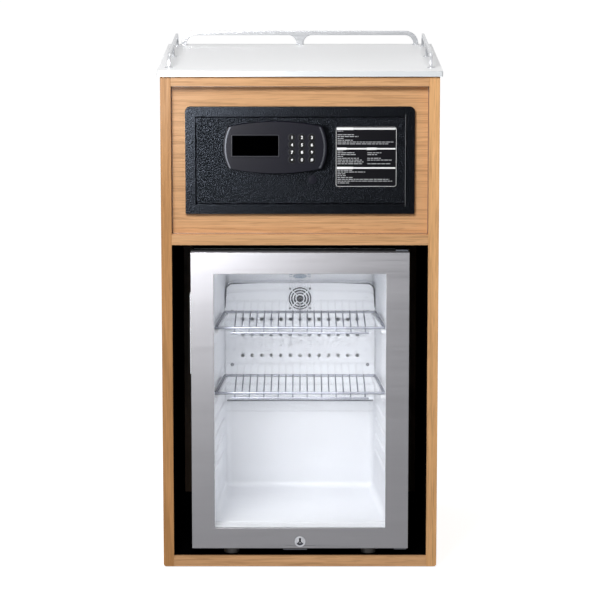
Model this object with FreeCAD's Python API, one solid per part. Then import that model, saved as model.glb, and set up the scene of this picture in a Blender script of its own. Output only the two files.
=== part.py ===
"""Hotel minibar cabinet: oak carcass, electronic safe above, glass-door fridge below.

Millimetres. Origin on the floor under the middle of the worktop, +X to the right, +Y to the
rear, +Z up. Every sub-part is written to parts/NODE.step.
"""
import FreeCAD
import Part
import math
import os

V = FreeCAD.Vector

# ---------------------------------------------------------------- driving sizes: carcass
SIDE_THICKNESS = 19.0
BOTTOM_THICKNESS = 19.0
SHELF_THICKNESS = 19.0
TOP_THICKNESS = 16.0
BACK_THICKNESS = 6.0
LINING_THICKNESS = 3.0
LINING_SETBACK = 10.0
SIDE_FOOT_RADIUS = 5.0
GLIDE_HEIGHT = 2.5
GLIDE_RADIUS = 8.0
GLIDE_INSET = 30.0
FASCIA_RECESS = 15.0
FASCIA_THICKNESS = 16.0
VENT_WIDTH = 300.0
VENT_HEIGHT = 380.0
VENT_SILL = 100.0

# ---------------------------------------------------------------- driving sizes: worktop
WORKTOP_THICKNESS = 10.0
WORKTOP_OVERHANG = 5.0
WORKTOP_CORNER_RADIUS = 3.0
BEDDING_THICKNESS = 2.0
BEDDING_SETBACK = 6.0
BEDDING_WIDTH = 20.0
RAIL_RISE = 26.5
RAIL_BAR_HEIGHT = 8.5
RAIL_BAR_THICKNESS = 5.0
RAIL_CORNER_RADIUS = 25.0
RAIL_INNER_RADIUS = 16.5
RAIL_LEG_WIDTH = 10.0
RAIL_POST_FOOT = 14.0
RAIL_SIDE_INSET = 19.0
RAIL_SIDE_FRONT_GAP = 55.0
RAIL_SIDE_REAR_GAP = 42.0
RAIL_BACK_INSET = 14.0
RAIL_BACK_END_GAP = 26.0

# ---------------------------------------------------------------- driving sizes: safe
SAFE_FLANGE_LAP_X = 11.0
SAFE_FLANGE_LAP_Z = 6.0
SAFE_FLANGE_THICKNESS = 6.0
SAFE_FLANGE_TOP_RADIUS = 9.0
SAFE_FLANGE_BOTTOM_RADIUS = 2.0
SAFE_FLANGE_LIFT = 36.5
SAFE_FLANGE_DROP = 37.5
SAFE_RETURN = 1.0
SAFE_BODY_DEPTH = 340.0
SAFE_WALL = 2.5
SAFE_CUTOUT_CLEARANCE = 1.5
SAFE_DOOR_WIDTH = 375.5
SAFE_DOOR_HEIGHT = 155.0
SAFE_DOOR_THICKNESS = 5.0
SAFE_DOOR_OFFSET = 1.75
SAFE_DOOR_GAP = 2.0
SAFE_DOOR_CORNER_RADIUS = 2.0
SAFE_HINGE_INSET = 24.5
SAFE_HINGE_SETBACK = 9.5
SAFE_PIN_RADIUS = 3.0
SAFE_PIN_REACH = 8.0
HINGE_RUNNING_CLEARANCE = 0.05
HINGE_BLOCK_WIDTH = 14.0
HINGE_BLOCK_DEPTH = 9.5
HINGE_LUG_WIDTH = 16.0
HINGE_LUG_WALL = 3.5
HINGE_LUG_HEIGHT = 9.0
BATTEN_WIDTH = 40.0
BATTEN_LENGTH = 300.0
BATTEN_SPACING = 260.0
ANCHOR_RADIUS = 4.0
ANCHOR_HEAD_RADIUS = 8.0
ANCHOR_HEAD_HEIGHT = 5.0
ANCHOR_LENGTH = 30.0
ANCHOR_CLEARANCE = 0.5
ANCHOR_SPACING_Y = 200.0

# ---------------------------------------------------------------- driving sizes: safe lockwork
BOLT_RADIUS = 7.0
BOLT_TRAVEL = 15.0
BOLT_STOP_GAP = 1.0
BOLT_SPACING = 60.0
BOLT_TIP_INSET = 2.0
BOLT_SETBACK = 33.0
BOLT_HOLE_CLEARANCE = 1.0
GUIDE_START = 14.0
GUIDE_LENGTH = 22.0
GUIDE_WALL = 3.0
TIE_WIDTH = 6.0
TIE_THICKNESS = 6.0
COVER_LEFT_INSET = 6.0
COVER_WIDTH = 260.0
COVER_HEIGHT = 120.0
COVER_DEPTH = 41.0
COVER_WALL = 1.5

# ---------------------------------------------------------------- driving sizes: safe keypad
KEYPAD_WIDTH = 185.6
KEYPAD_HEIGHT = 93.4
KEYPAD_DEPTH = 11.5
KEYPAD_WALL = 3.0
KEYPAD_BULGE = 9.0
KEYPAD_CENTRE_X = -44.7
KEYPAD_CENTRE_Z = 24.7
KEY_RADIUS = 5.5
KEY_CLEARANCE = 0.3
KEY_PITCH_X = 17.8
KEY_PITCH_Z = 13.4
KEY_CENTRE_X = 48.2
KEY_TOP_ROW = 18.7
KEY_PROUD = 1.8
KEY_FLANGE_RADIUS = 6.5
KEY_FLANGE_THICKNESS = 1.2
KEY_FLANGE_GAP = 0.2
KEY_STEM_RADIUS = 2.0
KEY_TRAVEL = 1.5
KEY_STOP_GAP = 0.3
DISPLAY_WIDTH = 82.0
DISPLAY_HEIGHT = 35.9
DISPLAY_THICKNESS = 2.0
DISPLAY_LEDGE = 3.0
DISPLAY_CENTRE_X = -35.2
DISPLAY_CENTRE_Z = 3.35
DISPLAY_CLEARANCE = 0.3
TRIM_WIDTH = 3.0
TRIM_THICKNESS = 0.8
TRIM_INSET = 2.5
TRIM_HALF_HEIGHT = 37.3
PLATE_WIDTH = 109.8
PLATE_HEIGHT = 108.8
PLATE_THICKNESS = 1.0
PLATE_RADIUS = 4.0
PLATE_CENTRE_X = 118.7
PLATE_CENTRE_Z = 6.8
CAP_RADIUS = 8.0
CAP_THICKNESS = 2.0
CAP_CENTRE_X = 22.0
CAP_CENTRE_Z = -34.5

# ---------------------------------------------------------------- driving sizes: fridge body
SIDE_INSULATION = 32.0
CEILING_INSULATION = 36.5
REAR_INSULATION = 55.0
FRIDGE_SHEET = 1.5
FRIDGE_TOP_GAP = 10.0
BASE_THICKNESS = 3.0
BASE_INSET = 5.0
FOOT_RADIUS = 14.0
FOOT_HEIGHT = 9.5
FOOT_SPACING_X = 251.0
FOOT_INSET_Y = 18.0
FOOT_FRONT_MARGIN = 1.0
FOOT_TAB_WIDTH = 34.0
FOOT_TAB_GAP = 0.7
FOOT_TAB_OVERLAP = 10.0
LINER_FRONT_WIDTH = 326.0
LINER_REAR_WIDTH = 282.0
LINER_HEIGHT = 476.0
LINER_DEPTH = 265.0
LINER_FLOOR_RISE = 37.0
LINER_WALL = 2.0
LINER_CORNER_RADIUS = 12.0
RIB_COUNT = 5
RIB_PITCH = 31.0
RIB_HEIGHT = 9.0
RIB_PROUD = 3.0
RIB_LOWEST = 78.0
RIB_FRONT = 22.0
RIB_LENGTH = 190.0
LEDGE_LAP = 9.5
LEDGE_HEIGHT = 7.0

# ---------------------------------------------------------------- driving sizes: cold air parts
PANEL_SETBACK = 30.0
PANEL_THICKNESS = 2.0
PANEL_SIDE_GAP = 1.0
PANEL_BOTTOM_RISE = 176.0
PANEL_TOP_DROP = 70.0
PANEL_CORNER_RADIUS = 15.0
PANEL_CORNER_GAP = 1.0
PANEL_FOOT_WIDTH = 12.0
PANEL_FOOT_SPACING = 200.0
PANEL_FOOT_DROP = 24.0
HOLE_RADIUS = 3.65
HOLE_PITCH = 18.2
HOLES_PER_ROW = 13
HOLE_ROWS_BELOW_FAN = (40.0, 70.0, 110.0)
FAN_DROP = 100.5
FAN_OPENING_RADIUS = 21.5
FAN_DUCT_WALL = 2.0
FAN_DUCT_LENGTH = 22.0
FAN_BLADE_RADIUS = 19.5
FAN_HUB_RADIUS = 6.0
FAN_HUB_LENGTH = 10.0
FAN_BLADES = 7
FAN_BLADE_THICKNESS = 1.4
FAN_BLADE_PITCH_DEG = 38.0
FAN_SHAFT_RADIUS = 1.5
FAN_SHAFT_LENGTH = 6.0
FAN_FRONT_GAP = 5.0
FAN_BOSS_RADIUS = 7.0
FAN_BOSS_LENGTH = 6.0
FAN_STRUT_WIDTH = 3.0
FAN_REAR_GAP = 1.0
GRILLE_RADIUS = 24.4
GRILLE_THICKNESS = 2.0
GRILLE_RINGS = 4
GRILLE_RING_WIDTH = 2.2
GRILLE_RING_STEP = 5.2
GRILLE_SPOKES = 4
LAMP_WIDTH = 42.0
LAMP_HEIGHT = 27.5
LAMP_DEPTH = 60.0
LAMP_RADIUS = 8.0
LAMP_SETBACK = 25.0
EVAPORATOR_WIDTH = 210.0
EVAPORATOR_HEIGHT = 120.0
EVAPORATOR_DEPTH = 22.0
EVAPORATOR_RISE = 200.0
EVAPORATOR_FINS = 9
EVAPORATOR_FIN_THICKNESS = 1.5
EVAPORATOR_CORE_HEIGHT = 60.0
EVAPORATOR_CORE_DEPTH = 8.0

# ---------------------------------------------------------------- driving sizes: shelves
SHELF_SIDE_GAP = 4.5
SHELF_REAR_GAP = 60.0
SHELF_RACK_SETBACK = 10.0
SHELF_FRAME_RADIUS = 2.5
SHELF_WIRE_RADIUS = 1.3
SHELF_WIRE_PITCH = 13.3
SHELF_WIRE_COUNT = 19
SHELF_DROP_HEIGHT = 9.5
SHELF_UPPER_RISE = 361.0
SHELF_LOWER_RISE = 239.0
SHELF_REST_GAP = 0.3

# ---------------------------------------------------------------- driving sizes: machine bay
COMPRESSOR_RADIUS = 36.0
COMPRESSOR_LENGTH = 150.0
COMPRESSOR_MOUNT_HEIGHT = 8.0
COMPRESSOR_GAP = 6.0
COMPRESSOR_REAR_MARGIN = 7.0
REAR_AIR_GAP = 24.0
COMPRESSOR_X = 70.0
CONDENSER_TUBE_RADIUS = 2.5
CONDENSER_RUNS = 10
CONDENSER_PITCH = 40.0
CONDENSER_WIDTH = 300.0
CONDENSER_STANDOFF = 14.0
CONDENSER_LOWEST = 125.0
CONDENSER_STRAP_THICKNESS = 3.0
CONDENSER_STRAP_SPACING = 220.0
INLET_WIDTH = 34.0
INLET_HEIGHT = 28.0
INLET_DEPTH = 30.0
INLET_X = -110.0
INLET_SOCKET_WIDTH = 24.0
INLET_SOCKET_HEIGHT = 16.0
INLET_SOCKET_DEPTH = 18.0

# ---------------------------------------------------------------- driving sizes: fridge door
DOOR_OVERHANG = 2.5
DOOR_TOP_GAP = 0.8
DOOR_THICKNESS = 45.0
DOOR_SIDE_GAP = 30.5
DOOR_DROP = 0.3
DOOR_SHEET = 1.5
DOOR_STEEL_DEPTH = 31.0
DOOR_STILE = 41.5
DOOR_TOP_RAIL = 38.8
DOOR_BOTTOM_RAIL = 37.8
DOOR_LIP_DEPTH = 3.0
PANE_THICKNESS = 4.0
PANE_OVERLAP = 7.0
PANE_SPACE = 14.5
PANE_CLEARANCE = 0.3
SPACER_WIDTH = 6.5
CUFF_WALL = 4.5
GASKET_THICKNESS = 10.0
GASKET_GAP = 0.3
GASKET_WIDTH = 12.0
GASKET_EDGE = 12.5
PULL_LENGTH = 148.5
PULL_RAISE = 126.0
PULL_DEPTH = 18.0
PULL_PROUD = 1.3
PULL_SETBACK = 1.0
DOOR_HINGE_INSET = 10.5
DOOR_HINGE_SETBACK = 20.0
HINGE_PIN_RADIUS = 3.0
HINGE_PIN_LENGTH = 20.0
HINGE_PIN_END_GAP = 2.0
HINGE_PLATE_THICKNESS = 2.5
HINGE_PLATE_WIDTH = 22.0
HINGE_PLATE_OVERLAP = 20.0
HINGE_SHEET_CLEARANCE = 0.5
BUSH_WIDTH = 17.0
BUSH_FRONT_REACH = 8.0

# ---------------------------------------------------------------- driving sizes: fridge door lock
LOCK_RISE = 12.8
LOCK_RIM_RADIUS = 9.9
LOCK_RIM_PROUD = 1.5
LOCK_BARREL_RADIUS = 9.2
LOCK_BARREL_LENGTH = 14.0
LOCK_BARREL_CLEARANCE = 0.3
LOCK_PLUG_RADIUS = 7.0
LOCK_PLUG_CLEARANCE = 0.05
LOCK_KEYWAY_WIDTH = 1.6
LOCK_KEYWAY_HEIGHT = 8.0
LOCK_KEYWAY_DEPTH = 6.0
CAM_LENGTH = 21.0
CAM_WIDTH = 8.0
CAM_THICKNESS = 3.0
CAM_SLOT_CLEARANCE = 1.2
STRIKER_LEFT = 31.0
STRIKER_RIGHT = 13.0
STRIKER_THICKNESS = 2.5
STRIKER_FRONT_MARGIN = 5.0

# ---------------------------------------------------------------- sizes that follow
FRIDGE_WIDTH = LINER_FRONT_WIDTH + 2 * SIDE_INSULATION
FRIDGE_HEIGHT = LINER_FLOOR_RISE + LINER_HEIGHT + CEILING_INSULATION
FRIDGE_DEPTH = LINER_DEPTH + REAR_INSULATION
BASE_WIDTH = FRIDGE_WIDTH - 2 * BASE_INSET
BASE_REAR_REACH = COMPRESSOR_GAP + 2 * COMPRESSOR_RADIUS + COMPRESSOR_REAR_MARGIN
DOOR_WIDTH = FRIDGE_WIDTH + 2 * DOOR_OVERHANG
CARCASS_DEPTH = (DOOR_THICKNESS + GASKET_THICKNESS + FRIDGE_DEPTH + BASE_REAR_REACH
                 + REAR_AIR_GAP + BACK_THICKNESS)
SAFE_BODY_WIDTH = SAFE_DOOR_WIDTH + 2 * (SAFE_DOOR_GAP + SAFE_DOOR_OFFSET + SAFE_RETURN + SAFE_WALL)
SAFE_BODY_HEIGHT = SAFE_DOOR_HEIGHT + 2 * (SAFE_DOOR_GAP + HINGE_LUG_HEIGHT + SAFE_WALL)
SAFE_FLANGE_WIDTH = SAFE_BODY_WIDTH + 2 * SAFE_FLANGE_LAP_X
SAFE_FLANGE_HEIGHT = SAFE_BODY_HEIGHT + 2 * SAFE_FLANGE_LAP_Z
FASCIA_HEIGHT = SAFE_FLANGE_LIFT + SAFE_FLANGE_HEIGHT + SAFE_FLANGE_DROP

# ---------------------------------------------------------------- places that follow
FRONT_Y = -CARCASS_DEPTH / 2
REAR_Y = CARCASS_DEPTH / 2

BAY_HALF = DOOR_WIDTH / 2 + DOOR_SIDE_GAP
INNER_HALF = BAY_HALF + LINING_THICKNESS
CARCASS_HALF = INNER_HALF + SIDE_THICKNESS
WORKTOP_HALF = CARCASS_HALF + WORKTOP_OVERHANG
WORKTOP_FRONT = FRONT_Y - WORKTOP_OVERHANG
WORKTOP_REAR = REAR_Y + WORKTOP_OVERHANG

CARCASS_Z = GLIDE_HEIGHT
BAY_FLOOR_Z = CARCASS_Z + BOTTOM_THICKNESS
BAY_FLOOR_TOP = BAY_FLOOR_Z + LINING_THICKNESS
BASE_Z = BAY_FLOOR_TOP + FOOT_HEIGHT
FRIDGE_Z = BASE_Z + BASE_THICKNESS
FRIDGE_TOP = FRIDGE_Z + FRIDGE_HEIGHT
BAY_CEILING = FRIDGE_TOP + FRIDGE_TOP_GAP + LINING_THICKNESS
SHELF_TOP = BAY_CEILING + SHELF_THICKNESS
FASCIA_TOP = SHELF_TOP + FASCIA_HEIGHT
CARCASS_TOP = FASCIA_TOP + TOP_THICKNESS
WORKTOP_Z = CARCASS_TOP + BEDDING_THICKNESS
WORKTOP_TOP = WORKTOP_Z + WORKTOP_THICKNESS

FASCIA_FRONT = FRONT_Y + FASCIA_RECESS
FASCIA_REAR = FASCIA_FRONT + FASCIA_THICKNESS
BACK_FRONT = REAR_Y - BACK_THICKNESS

SAFE_FRONT = FASCIA_FRONT - SAFE_FLANGE_THICKNESS
SAFE_CENTRE_Z = SHELF_TOP + SAFE_FLANGE_LIFT + SAFE_FLANGE_HEIGHT / 2
SAFE_BODY_BOTTOM = SAFE_CENTRE_Z - SAFE_BODY_HEIGHT / 2
SAFE_BODY_TOP = SAFE_CENTRE_Z + SAFE_BODY_HEIGHT / 2
SAFE_REAR = FASCIA_FRONT + SAFE_BODY_DEPTH
SAFE_DOOR_LEFT = SAFE_DOOR_OFFSET - SAFE_DOOR_WIDTH / 2
SAFE_DOOR_RIGHT = SAFE_DOOR_OFFSET + SAFE_DOOR_WIDTH / 2
SAFE_DOOR_BOTTOM = SAFE_CENTRE_Z - SAFE_DOOR_HEIGHT / 2
SAFE_DOOR_TOP = SAFE_CENTRE_Z + SAFE_DOOR_HEIGHT / 2
SAFE_DOOR_BACK = SAFE_FRONT + SAFE_DOOR_THICKNESS
SAFE_HINGE_X = SAFE_DOOR_RIGHT - SAFE_HINGE_INSET
SAFE_HINGE_Y = SAFE_FRONT + SAFE_HINGE_SETBACK
BOLT_Y = SAFE_FRONT + BOLT_SETBACK
BOLT_TIP_X = SAFE_DOOR_LEFT + BOLT_TIP_INSET
GUIDE_LEFT = SAFE_DOOR_LEFT + GUIDE_START
GUIDE_RIGHT = GUIDE_LEFT + GUIDE_LENGTH
BOLT_END_X = GUIDE_RIGHT + BOLT_TRAVEL + BOLT_STOP_GAP + TIE_WIDTH
BOLT_HEIGHTS = (SAFE_CENTRE_Z - BOLT_SPACING / 2, SAFE_CENTRE_Z + BOLT_SPACING / 2)

KEYPAD_X = KEYPAD_CENTRE_X
KEYPAD_Z = SAFE_CENTRE_Z + KEYPAD_CENTRE_Z
KEYPAD_FRONT = SAFE_FRONT - KEYPAD_DEPTH
KEYPAD_FACE_BACK = KEYPAD_FRONT + KEYPAD_WALL
KEY_NAMES = ("1", "2", "3", "4", "5", "6", "7", "8", "9", "star", "0", "hash")
KEY_COLUMNS = 3

FRIDGE_FRONT = FRONT_Y + DOOR_THICKNESS + GASKET_THICKNESS
FRIDGE_REAR = FRIDGE_FRONT + FRIDGE_DEPTH
FRIDGE_HALF = FRIDGE_WIDTH / 2
LINER_FLOOR = FRIDGE_Z + LINER_FLOOR_RISE
LINER_CEILING = LINER_FLOOR + LINER_HEIGHT
LINER_REAR = FRIDGE_FRONT + LINER_DEPTH
PANEL_FRONT = LINER_REAR - PANEL_SETBACK
PANEL_BOTTOM = LINER_FLOOR + PANEL_BOTTOM_RISE
FAN_Z = LINER_CEILING - FAN_DROP
BASE_REAR = FRIDGE_REAR + BASE_REAR_REACH
FRONT_FOOT_Y = FRONT_Y + LINING_SETBACK + FOOT_FRONT_MARGIN + FOOT_RADIUS
RACK_FRONT = FRIDGE_FRONT + SHELF_RACK_SETBACK
RACK_REAR = PANEL_FRONT - SHELF_REAR_GAP

DOOR_HALF = DOOR_WIDTH / 2
DOOR_Z = FRIDGE_Z - DOOR_DROP
DOOR_TOP = FRIDGE_TOP - DOOR_TOP_GAP
DOOR_BACK = FRONT_Y + DOOR_THICKNESS
PULL_Z = (DOOR_Z + DOOR_TOP) / 2 + PULL_RAISE - PULL_LENGTH / 2
GLASS_HALF = DOOR_HALF - DOOR_STILE
GLASS_Z = DOOR_Z + DOOR_BOTTOM_RAIL
GLASS_TOP = DOOR_TOP - DOOR_TOP_RAIL
PANE_FRONT = FRONT_Y + DOOR_SHEET + DOOR_LIP_DEPTH
PANE_FRONT_BACK = PANE_FRONT + PANE_THICKNESS
PANE_REAR = PANE_FRONT_BACK + PANE_SPACE
PANE_REAR_BACK = PANE_REAR + PANE_THICKNESS
DOOR_HINGE_X = DOOR_HALF - DOOR_HINGE_INSET
DOOR_HINGE_Y = FRONT_Y + DOOR_HINGE_SETBACK
LOCK_Z = DOOR_Z + LOCK_RISE
CAM_FRONT = FRONT_Y + LOCK_BARREL_LENGTH
CAM_BACK = CAM_FRONT + CAM_THICKNESS
CAM_TIP_RADIUS = math.hypot(CAM_LENGTH, CAM_WIDTH / 2)


# ---------------------------------------------------------------- small tools
def box(x0, x1, y0, y1, z0, z1):
    """A block between two corners."""
    return Part.makeBox(x1 - x0, y1 - y0, z1 - z0, V(x0, y0, z0))


def rod(radius, start, end):
    """A round bar between two points."""
    way = V(*end) - V(*start)
    return Part.makeCylinder(radius, way.Length, V(*start), way)


def edges_along(shape, axis):
    """The straight edges of a shape that run along one axis."""
    found = []
    for edge in shape.Edges:
        if isinstance(edge.Curve, Part.Line) and abs(abs(edge.Curve.Direction.dot(axis)) - 1) < 1e-6:
            found.append(edge)
    return found


def rounded(shape, axis, radius, keep=lambda point: True):
    """Rounds the edges along an axis whose middle point passes the test."""
    chosen = [e for e in edges_along(shape, axis) if keep(e.CenterOfMass)]
    return shape.makeFillet(radius, chosen)


def ring(outer, inner):
    """A block with a block-shaped hole: both are (x0, x1, y0, y1, z0, z1)."""
    return box(*outer).cut(box(*inner))


def frame_ring(half, z0, z1, width, y0, y1):
    """A flat rectangular ring that stands upright, given by its outer edge and its width."""
    outer = (-half, half, y0, y1, z0, z1)
    inner = (-half + width, half - width, y0 - 1, y1 + 1, z0 + width, z1 - width)
    return ring(outer, inner)


def plan_prism(points, z0, z1):
    """A block with the plan outline points (x, y), from z0 to z1."""
    corners = [V(x, y, z0) for x, y in points]
    face = Part.Face(Part.makePolygon(corners + corners[:1]))
    return face.extrude(V(0, 0, z1 - z0))


def fuse(shapes):
    """One solid from overlapping or touching ones."""
    return shapes[0].multiFuse(shapes[1:]).removeSplitter()


def group(shapes):
    """Separate solids that share one node."""
    return Part.makeCompound(shapes)


X_AXIS, Y_AXIS, Z_AXIS = V(1, 0, 0), V(0, 1, 0), V(0, 0, 1)


# ---------------------------------------------------------------- carcass
def side_panel(side):
    """One full-height side, with its outer bottom edge eased."""
    inner, outer = side * INNER_HALF, side * CARCASS_HALF
    x0, x1 = min(inner, outer), max(inner, outer)
    panel = box(x0, x1, FRONT_Y, REAR_Y, CARCASS_Z, CARCASS_TOP)

    def outer_bottom(point):
        return abs(point.x - outer) < 1e-6 and abs(point.z - CARCASS_Z) < 1e-6

    return rounded(panel, Y_AXIS, SIDE_FOOT_RADIUS, outer_bottom)


def cross_board(z0, thickness):
    """A board between the two sides, up to the back panel."""
    return box(-INNER_HALF, INNER_HALF, FRONT_Y, BACK_FRONT, z0, z0 + thickness)


def safe_fascia():
    """The recessed board round the safe."""
    board = box(-INNER_HALF, INNER_HALF, FASCIA_FRONT, FASCIA_REAR, SHELF_TOP, FASCIA_TOP)
    half = SAFE_BODY_WIDTH / 2 + SAFE_CUTOUT_CLEARANCE
    z0 = SAFE_BODY_BOTTOM - SAFE_CUTOUT_CLEARANCE
    z1 = SAFE_BODY_TOP + SAFE_CUTOUT_CLEARANCE
    return board.cut(box(-half, half, FASCIA_FRONT - 1, FASCIA_REAR + 1, z0, z1))


def back_panel():
    """The thin back, set between the sides, with a vent cut-out behind the fridge."""
    board = box(-INNER_HALF, INNER_HALF, BACK_FRONT, REAR_Y, CARCASS_Z, CARCASS_TOP)
    z0 = BAY_FLOOR_TOP + VENT_SILL
    vent = box(-VENT_WIDTH / 2, VENT_WIDTH / 2, BACK_FRONT - 1, REAR_Y + 1, z0, z0 + VENT_HEIGHT)
    return board.cut(vent)


def bay_lining():
    """Four dark sheets that line the fridge bay."""
    y0, y1 = FRONT_Y + LINING_SETBACK, BACK_FRONT
    ceiling = BAY_CEILING - LINING_THICKNESS
    return group([
        box(-INNER_HALF, -BAY_HALF, y0, y1, BAY_FLOOR_Z, BAY_CEILING),
        box(BAY_HALF, INNER_HALF, y0, y1, BAY_FLOOR_Z, BAY_CEILING),
        box(-BAY_HALF, BAY_HALF, y0, y1, BAY_FLOOR_Z, BAY_FLOOR_TOP),
        box(-BAY_HALF, BAY_HALF, y0, y1, ceiling, BAY_CEILING),
    ])


def glide_places():
    """The middles of the four floor glides."""
    x = CARCASS_HALF - SIDE_THICKNESS / 2
    ys = (FRONT_Y + GLIDE_INSET, REAR_Y - GLIDE_INSET)
    return [(side * x, y) for side in (-1, 1) for y in ys]


def floor_glides():
    """Four round glides under the sides."""
    return group([rod(GLIDE_RADIUS, (x, y, 0), (x, y, GLIDE_HEIGHT)) for x, y in glide_places()])


# ---------------------------------------------------------------- worktop and gallery rails
def worktop():
    """The glass slab with eased upright corners."""
    slab = box(-WORKTOP_HALF, WORKTOP_HALF, WORKTOP_FRONT, WORKTOP_REAR, WORKTOP_Z, WORKTOP_TOP)
    return rounded(slab, Z_AXIS, WORKTOP_CORNER_RADIUS)


def worktop_bedding():
    """The dark strip between carcass and slab."""
    half = CARCASS_HALF - BEDDING_SETBACK
    y0, y1 = FRONT_Y + BEDDING_SETBACK, REAR_Y - BEDDING_SETBACK
    inner = half - BEDDING_WIDTH
    return ring((-half, half, y0, y1, CARCASS_TOP, WORKTOP_Z),
                (-inner, inner, y0 + BEDDING_WIDTH, y1 - BEDDING_WIDTH, CARCASS_TOP - 1, WORKTOP_Z + 1))


def rail_hoop(length):
    """One rail along X: a bar whose ends bend down into legs, with a flared post in the middle."""
    half, thick = length / 2, RAIL_BAR_THICKNESS / 2
    top = WORKTOP_TOP + RAIL_RISE
    bar_z = top - RAIL_BAR_HEIGHT
    hoop = box(-half, half, -thick, thick, WORKTOP_TOP, top)
    hoop = rounded(hoop, Y_AXIS, RAIL_CORNER_RADIUS, lambda p: p.z > top - 1)
    for side in (-1, 1):
        x0, x1 = sorted((side * RAIL_POST_FOOT / 2, side * (half - RAIL_LEG_WIDTH)))
        gap = box(x0, x1, -thick - 1, thick + 1, WORKTOP_TOP - 1, bar_z)
        hoop = hoop.cut(rounded(gap, Y_AXIS, RAIL_INNER_RADIUS, lambda p: p.z > bar_z - 1))
    return hoop


def gallery_rail_back():
    """The rear rail."""
    rail = rail_hoop(2 * (WORKTOP_HALF - RAIL_BACK_END_GAP))
    rail.translate(V(0, WORKTOP_REAR - RAIL_BACK_INSET, 0))
    return rail


def side_rail(side):
    """One side rail, from near the slab's front edge to near its rear edge."""
    y0, y1 = WORKTOP_FRONT + RAIL_SIDE_FRONT_GAP, WORKTOP_REAR - RAIL_SIDE_REAR_GAP
    rail = rail_hoop(y1 - y0)
    rail.rotate(V(0, 0, 0), Z_AXIS, 90)
    rail.translate(V(side * (WORKTOP_HALF - RAIL_SIDE_INSET), (y0 + y1) / 2, 0))
    return rail


def gallery_rails_side():
    """The left and right rails, alike."""
    return group([side_rail(-1), side_rail(1)])


# ---------------------------------------------------------------- safe, fixed pieces
def safe_front_frame():
    """The flanged front of the safe, with its hinge lugs behind the opening's edge."""
    half_x, half_z = SAFE_FLANGE_WIDTH / 2, SAFE_FLANGE_HEIGHT / 2
    flange = box(-half_x, half_x, SAFE_FRONT, FASCIA_FRONT,
                 SAFE_CENTRE_Z - half_z, SAFE_CENTRE_Z + half_z)
    flange = rounded(flange, Y_AXIS, SAFE_FLANGE_TOP_RADIUS, lambda p: p.z > SAFE_CENTRE_Z)
    flange = rounded(flange, Y_AXIS, SAFE_FLANGE_BOTTOM_RADIUS,
                     lambda p: p.z < SAFE_CENTRE_Z - half_z + 1)
    flange = flange.cut(box(SAFE_DOOR_LEFT - SAFE_DOOR_GAP, SAFE_DOOR_RIGHT + SAFE_DOOR_GAP,
                            SAFE_FRONT - 1, FASCIA_FRONT + 1,
                            SAFE_DOOR_BOTTOM - SAFE_DOOR_GAP, SAFE_DOOR_TOP + SAFE_DOOR_GAP))
    lugs = []
    lug_back = SAFE_HINGE_Y + SAFE_PIN_RADIUS + HINGE_LUG_WALL
    for z0, z1 in ((SAFE_DOOR_TOP + SAFE_DOOR_GAP, SAFE_BODY_TOP - SAFE_WALL),
                   (SAFE_BODY_BOTTOM + SAFE_WALL, SAFE_DOOR_BOTTOM - SAFE_DOOR_GAP)):
        lugs.append(box(SAFE_HINGE_X - HINGE_LUG_WIDTH / 2, SAFE_HINGE_X + HINGE_LUG_WIDTH / 2,
                        FASCIA_FRONT, lug_back, z0, z1))
    frame = fuse([flange] + lugs)
    bore = SAFE_PIN_RADIUS + HINGE_RUNNING_CLEARANCE
    depth = SAFE_DOOR_GAP + SAFE_PIN_REACH
    for z0, z1 in ((SAFE_DOOR_TOP, SAFE_DOOR_TOP + depth),
                   (SAFE_DOOR_BOTTOM - depth, SAFE_DOOR_BOTTOM)):
        frame = frame.cut(rod(bore, (SAFE_HINGE_X, SAFE_HINGE_Y, z0), (SAFE_HINGE_X, SAFE_HINGE_Y, z1)))
    return frame


def safe_plates():
    """The five plates behind the front frame: top, bottom and rear stand between the sides."""
    half, inner = SAFE_BODY_WIDTH / 2, SAFE_BODY_WIDTH / 2 - SAFE_WALL
    floor, ceiling = SAFE_BODY_BOTTOM + SAFE_WALL, SAFE_BODY_TOP - SAFE_WALL
    left = box(-half, -inner, FASCIA_FRONT, SAFE_REAR, SAFE_BODY_BOTTOM, SAFE_BODY_TOP)
    for z in BOLT_HEIGHTS:
        left = left.cut(rod(BOLT_RADIUS + BOLT_HOLE_CLEARANCE, (-half - 1, BOLT_Y, z),
                            (-inner + 1, BOLT_Y, z)))
    right = box(inner, half, FASCIA_FRONT, SAFE_REAR, SAFE_BODY_BOTTOM, SAFE_BODY_TOP)
    top = box(-inner, inner, FASCIA_FRONT, SAFE_REAR, ceiling, SAFE_BODY_TOP)
    bottom = box(-inner, inner, FASCIA_FRONT, SAFE_REAR, SAFE_BODY_BOTTOM, floor)
    for x, y in anchor_places():
        bottom = bottom.cut(rod(ANCHOR_RADIUS + ANCHOR_CLEARANCE, (x, y, SAFE_BODY_BOTTOM - 1),
                                (x, y, floor + 1)))
    rear = box(-inner, inner, SAFE_REAR - SAFE_WALL, SAFE_REAR, floor, ceiling)
    return [left, right, top, bottom, rear]


def safe_body():
    """The welded safe housing: front frame and plates."""
    return group([safe_front_frame()] + safe_plates())


def anchor_places():
    """The four anchor bolts stand over the battens."""
    middle = (FASCIA_REAR + SAFE_REAR) / 2
    ys = (middle - ANCHOR_SPACING_Y / 2, middle + ANCHOR_SPACING_Y / 2)
    return [(side * BATTEN_SPACING / 2, y) for side in (-1, 1) for y in ys]


def safe_anchor_bolts():
    """Bolts from the safe's floor down into the battens."""
    floor = SAFE_BODY_BOTTOM + SAFE_WALL
    bolts = []
    for x, y in anchor_places():
        shank = rod(ANCHOR_RADIUS, (x, y, floor - ANCHOR_LENGTH), (x, y, floor + 1))
        head = rod(ANCHOR_HEAD_RADIUS, (x, y, floor), (x, y, floor + ANCHOR_HEAD_HEIGHT))
        bolts.append(fuse([head, shank]))
    return group(bolts)


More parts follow.
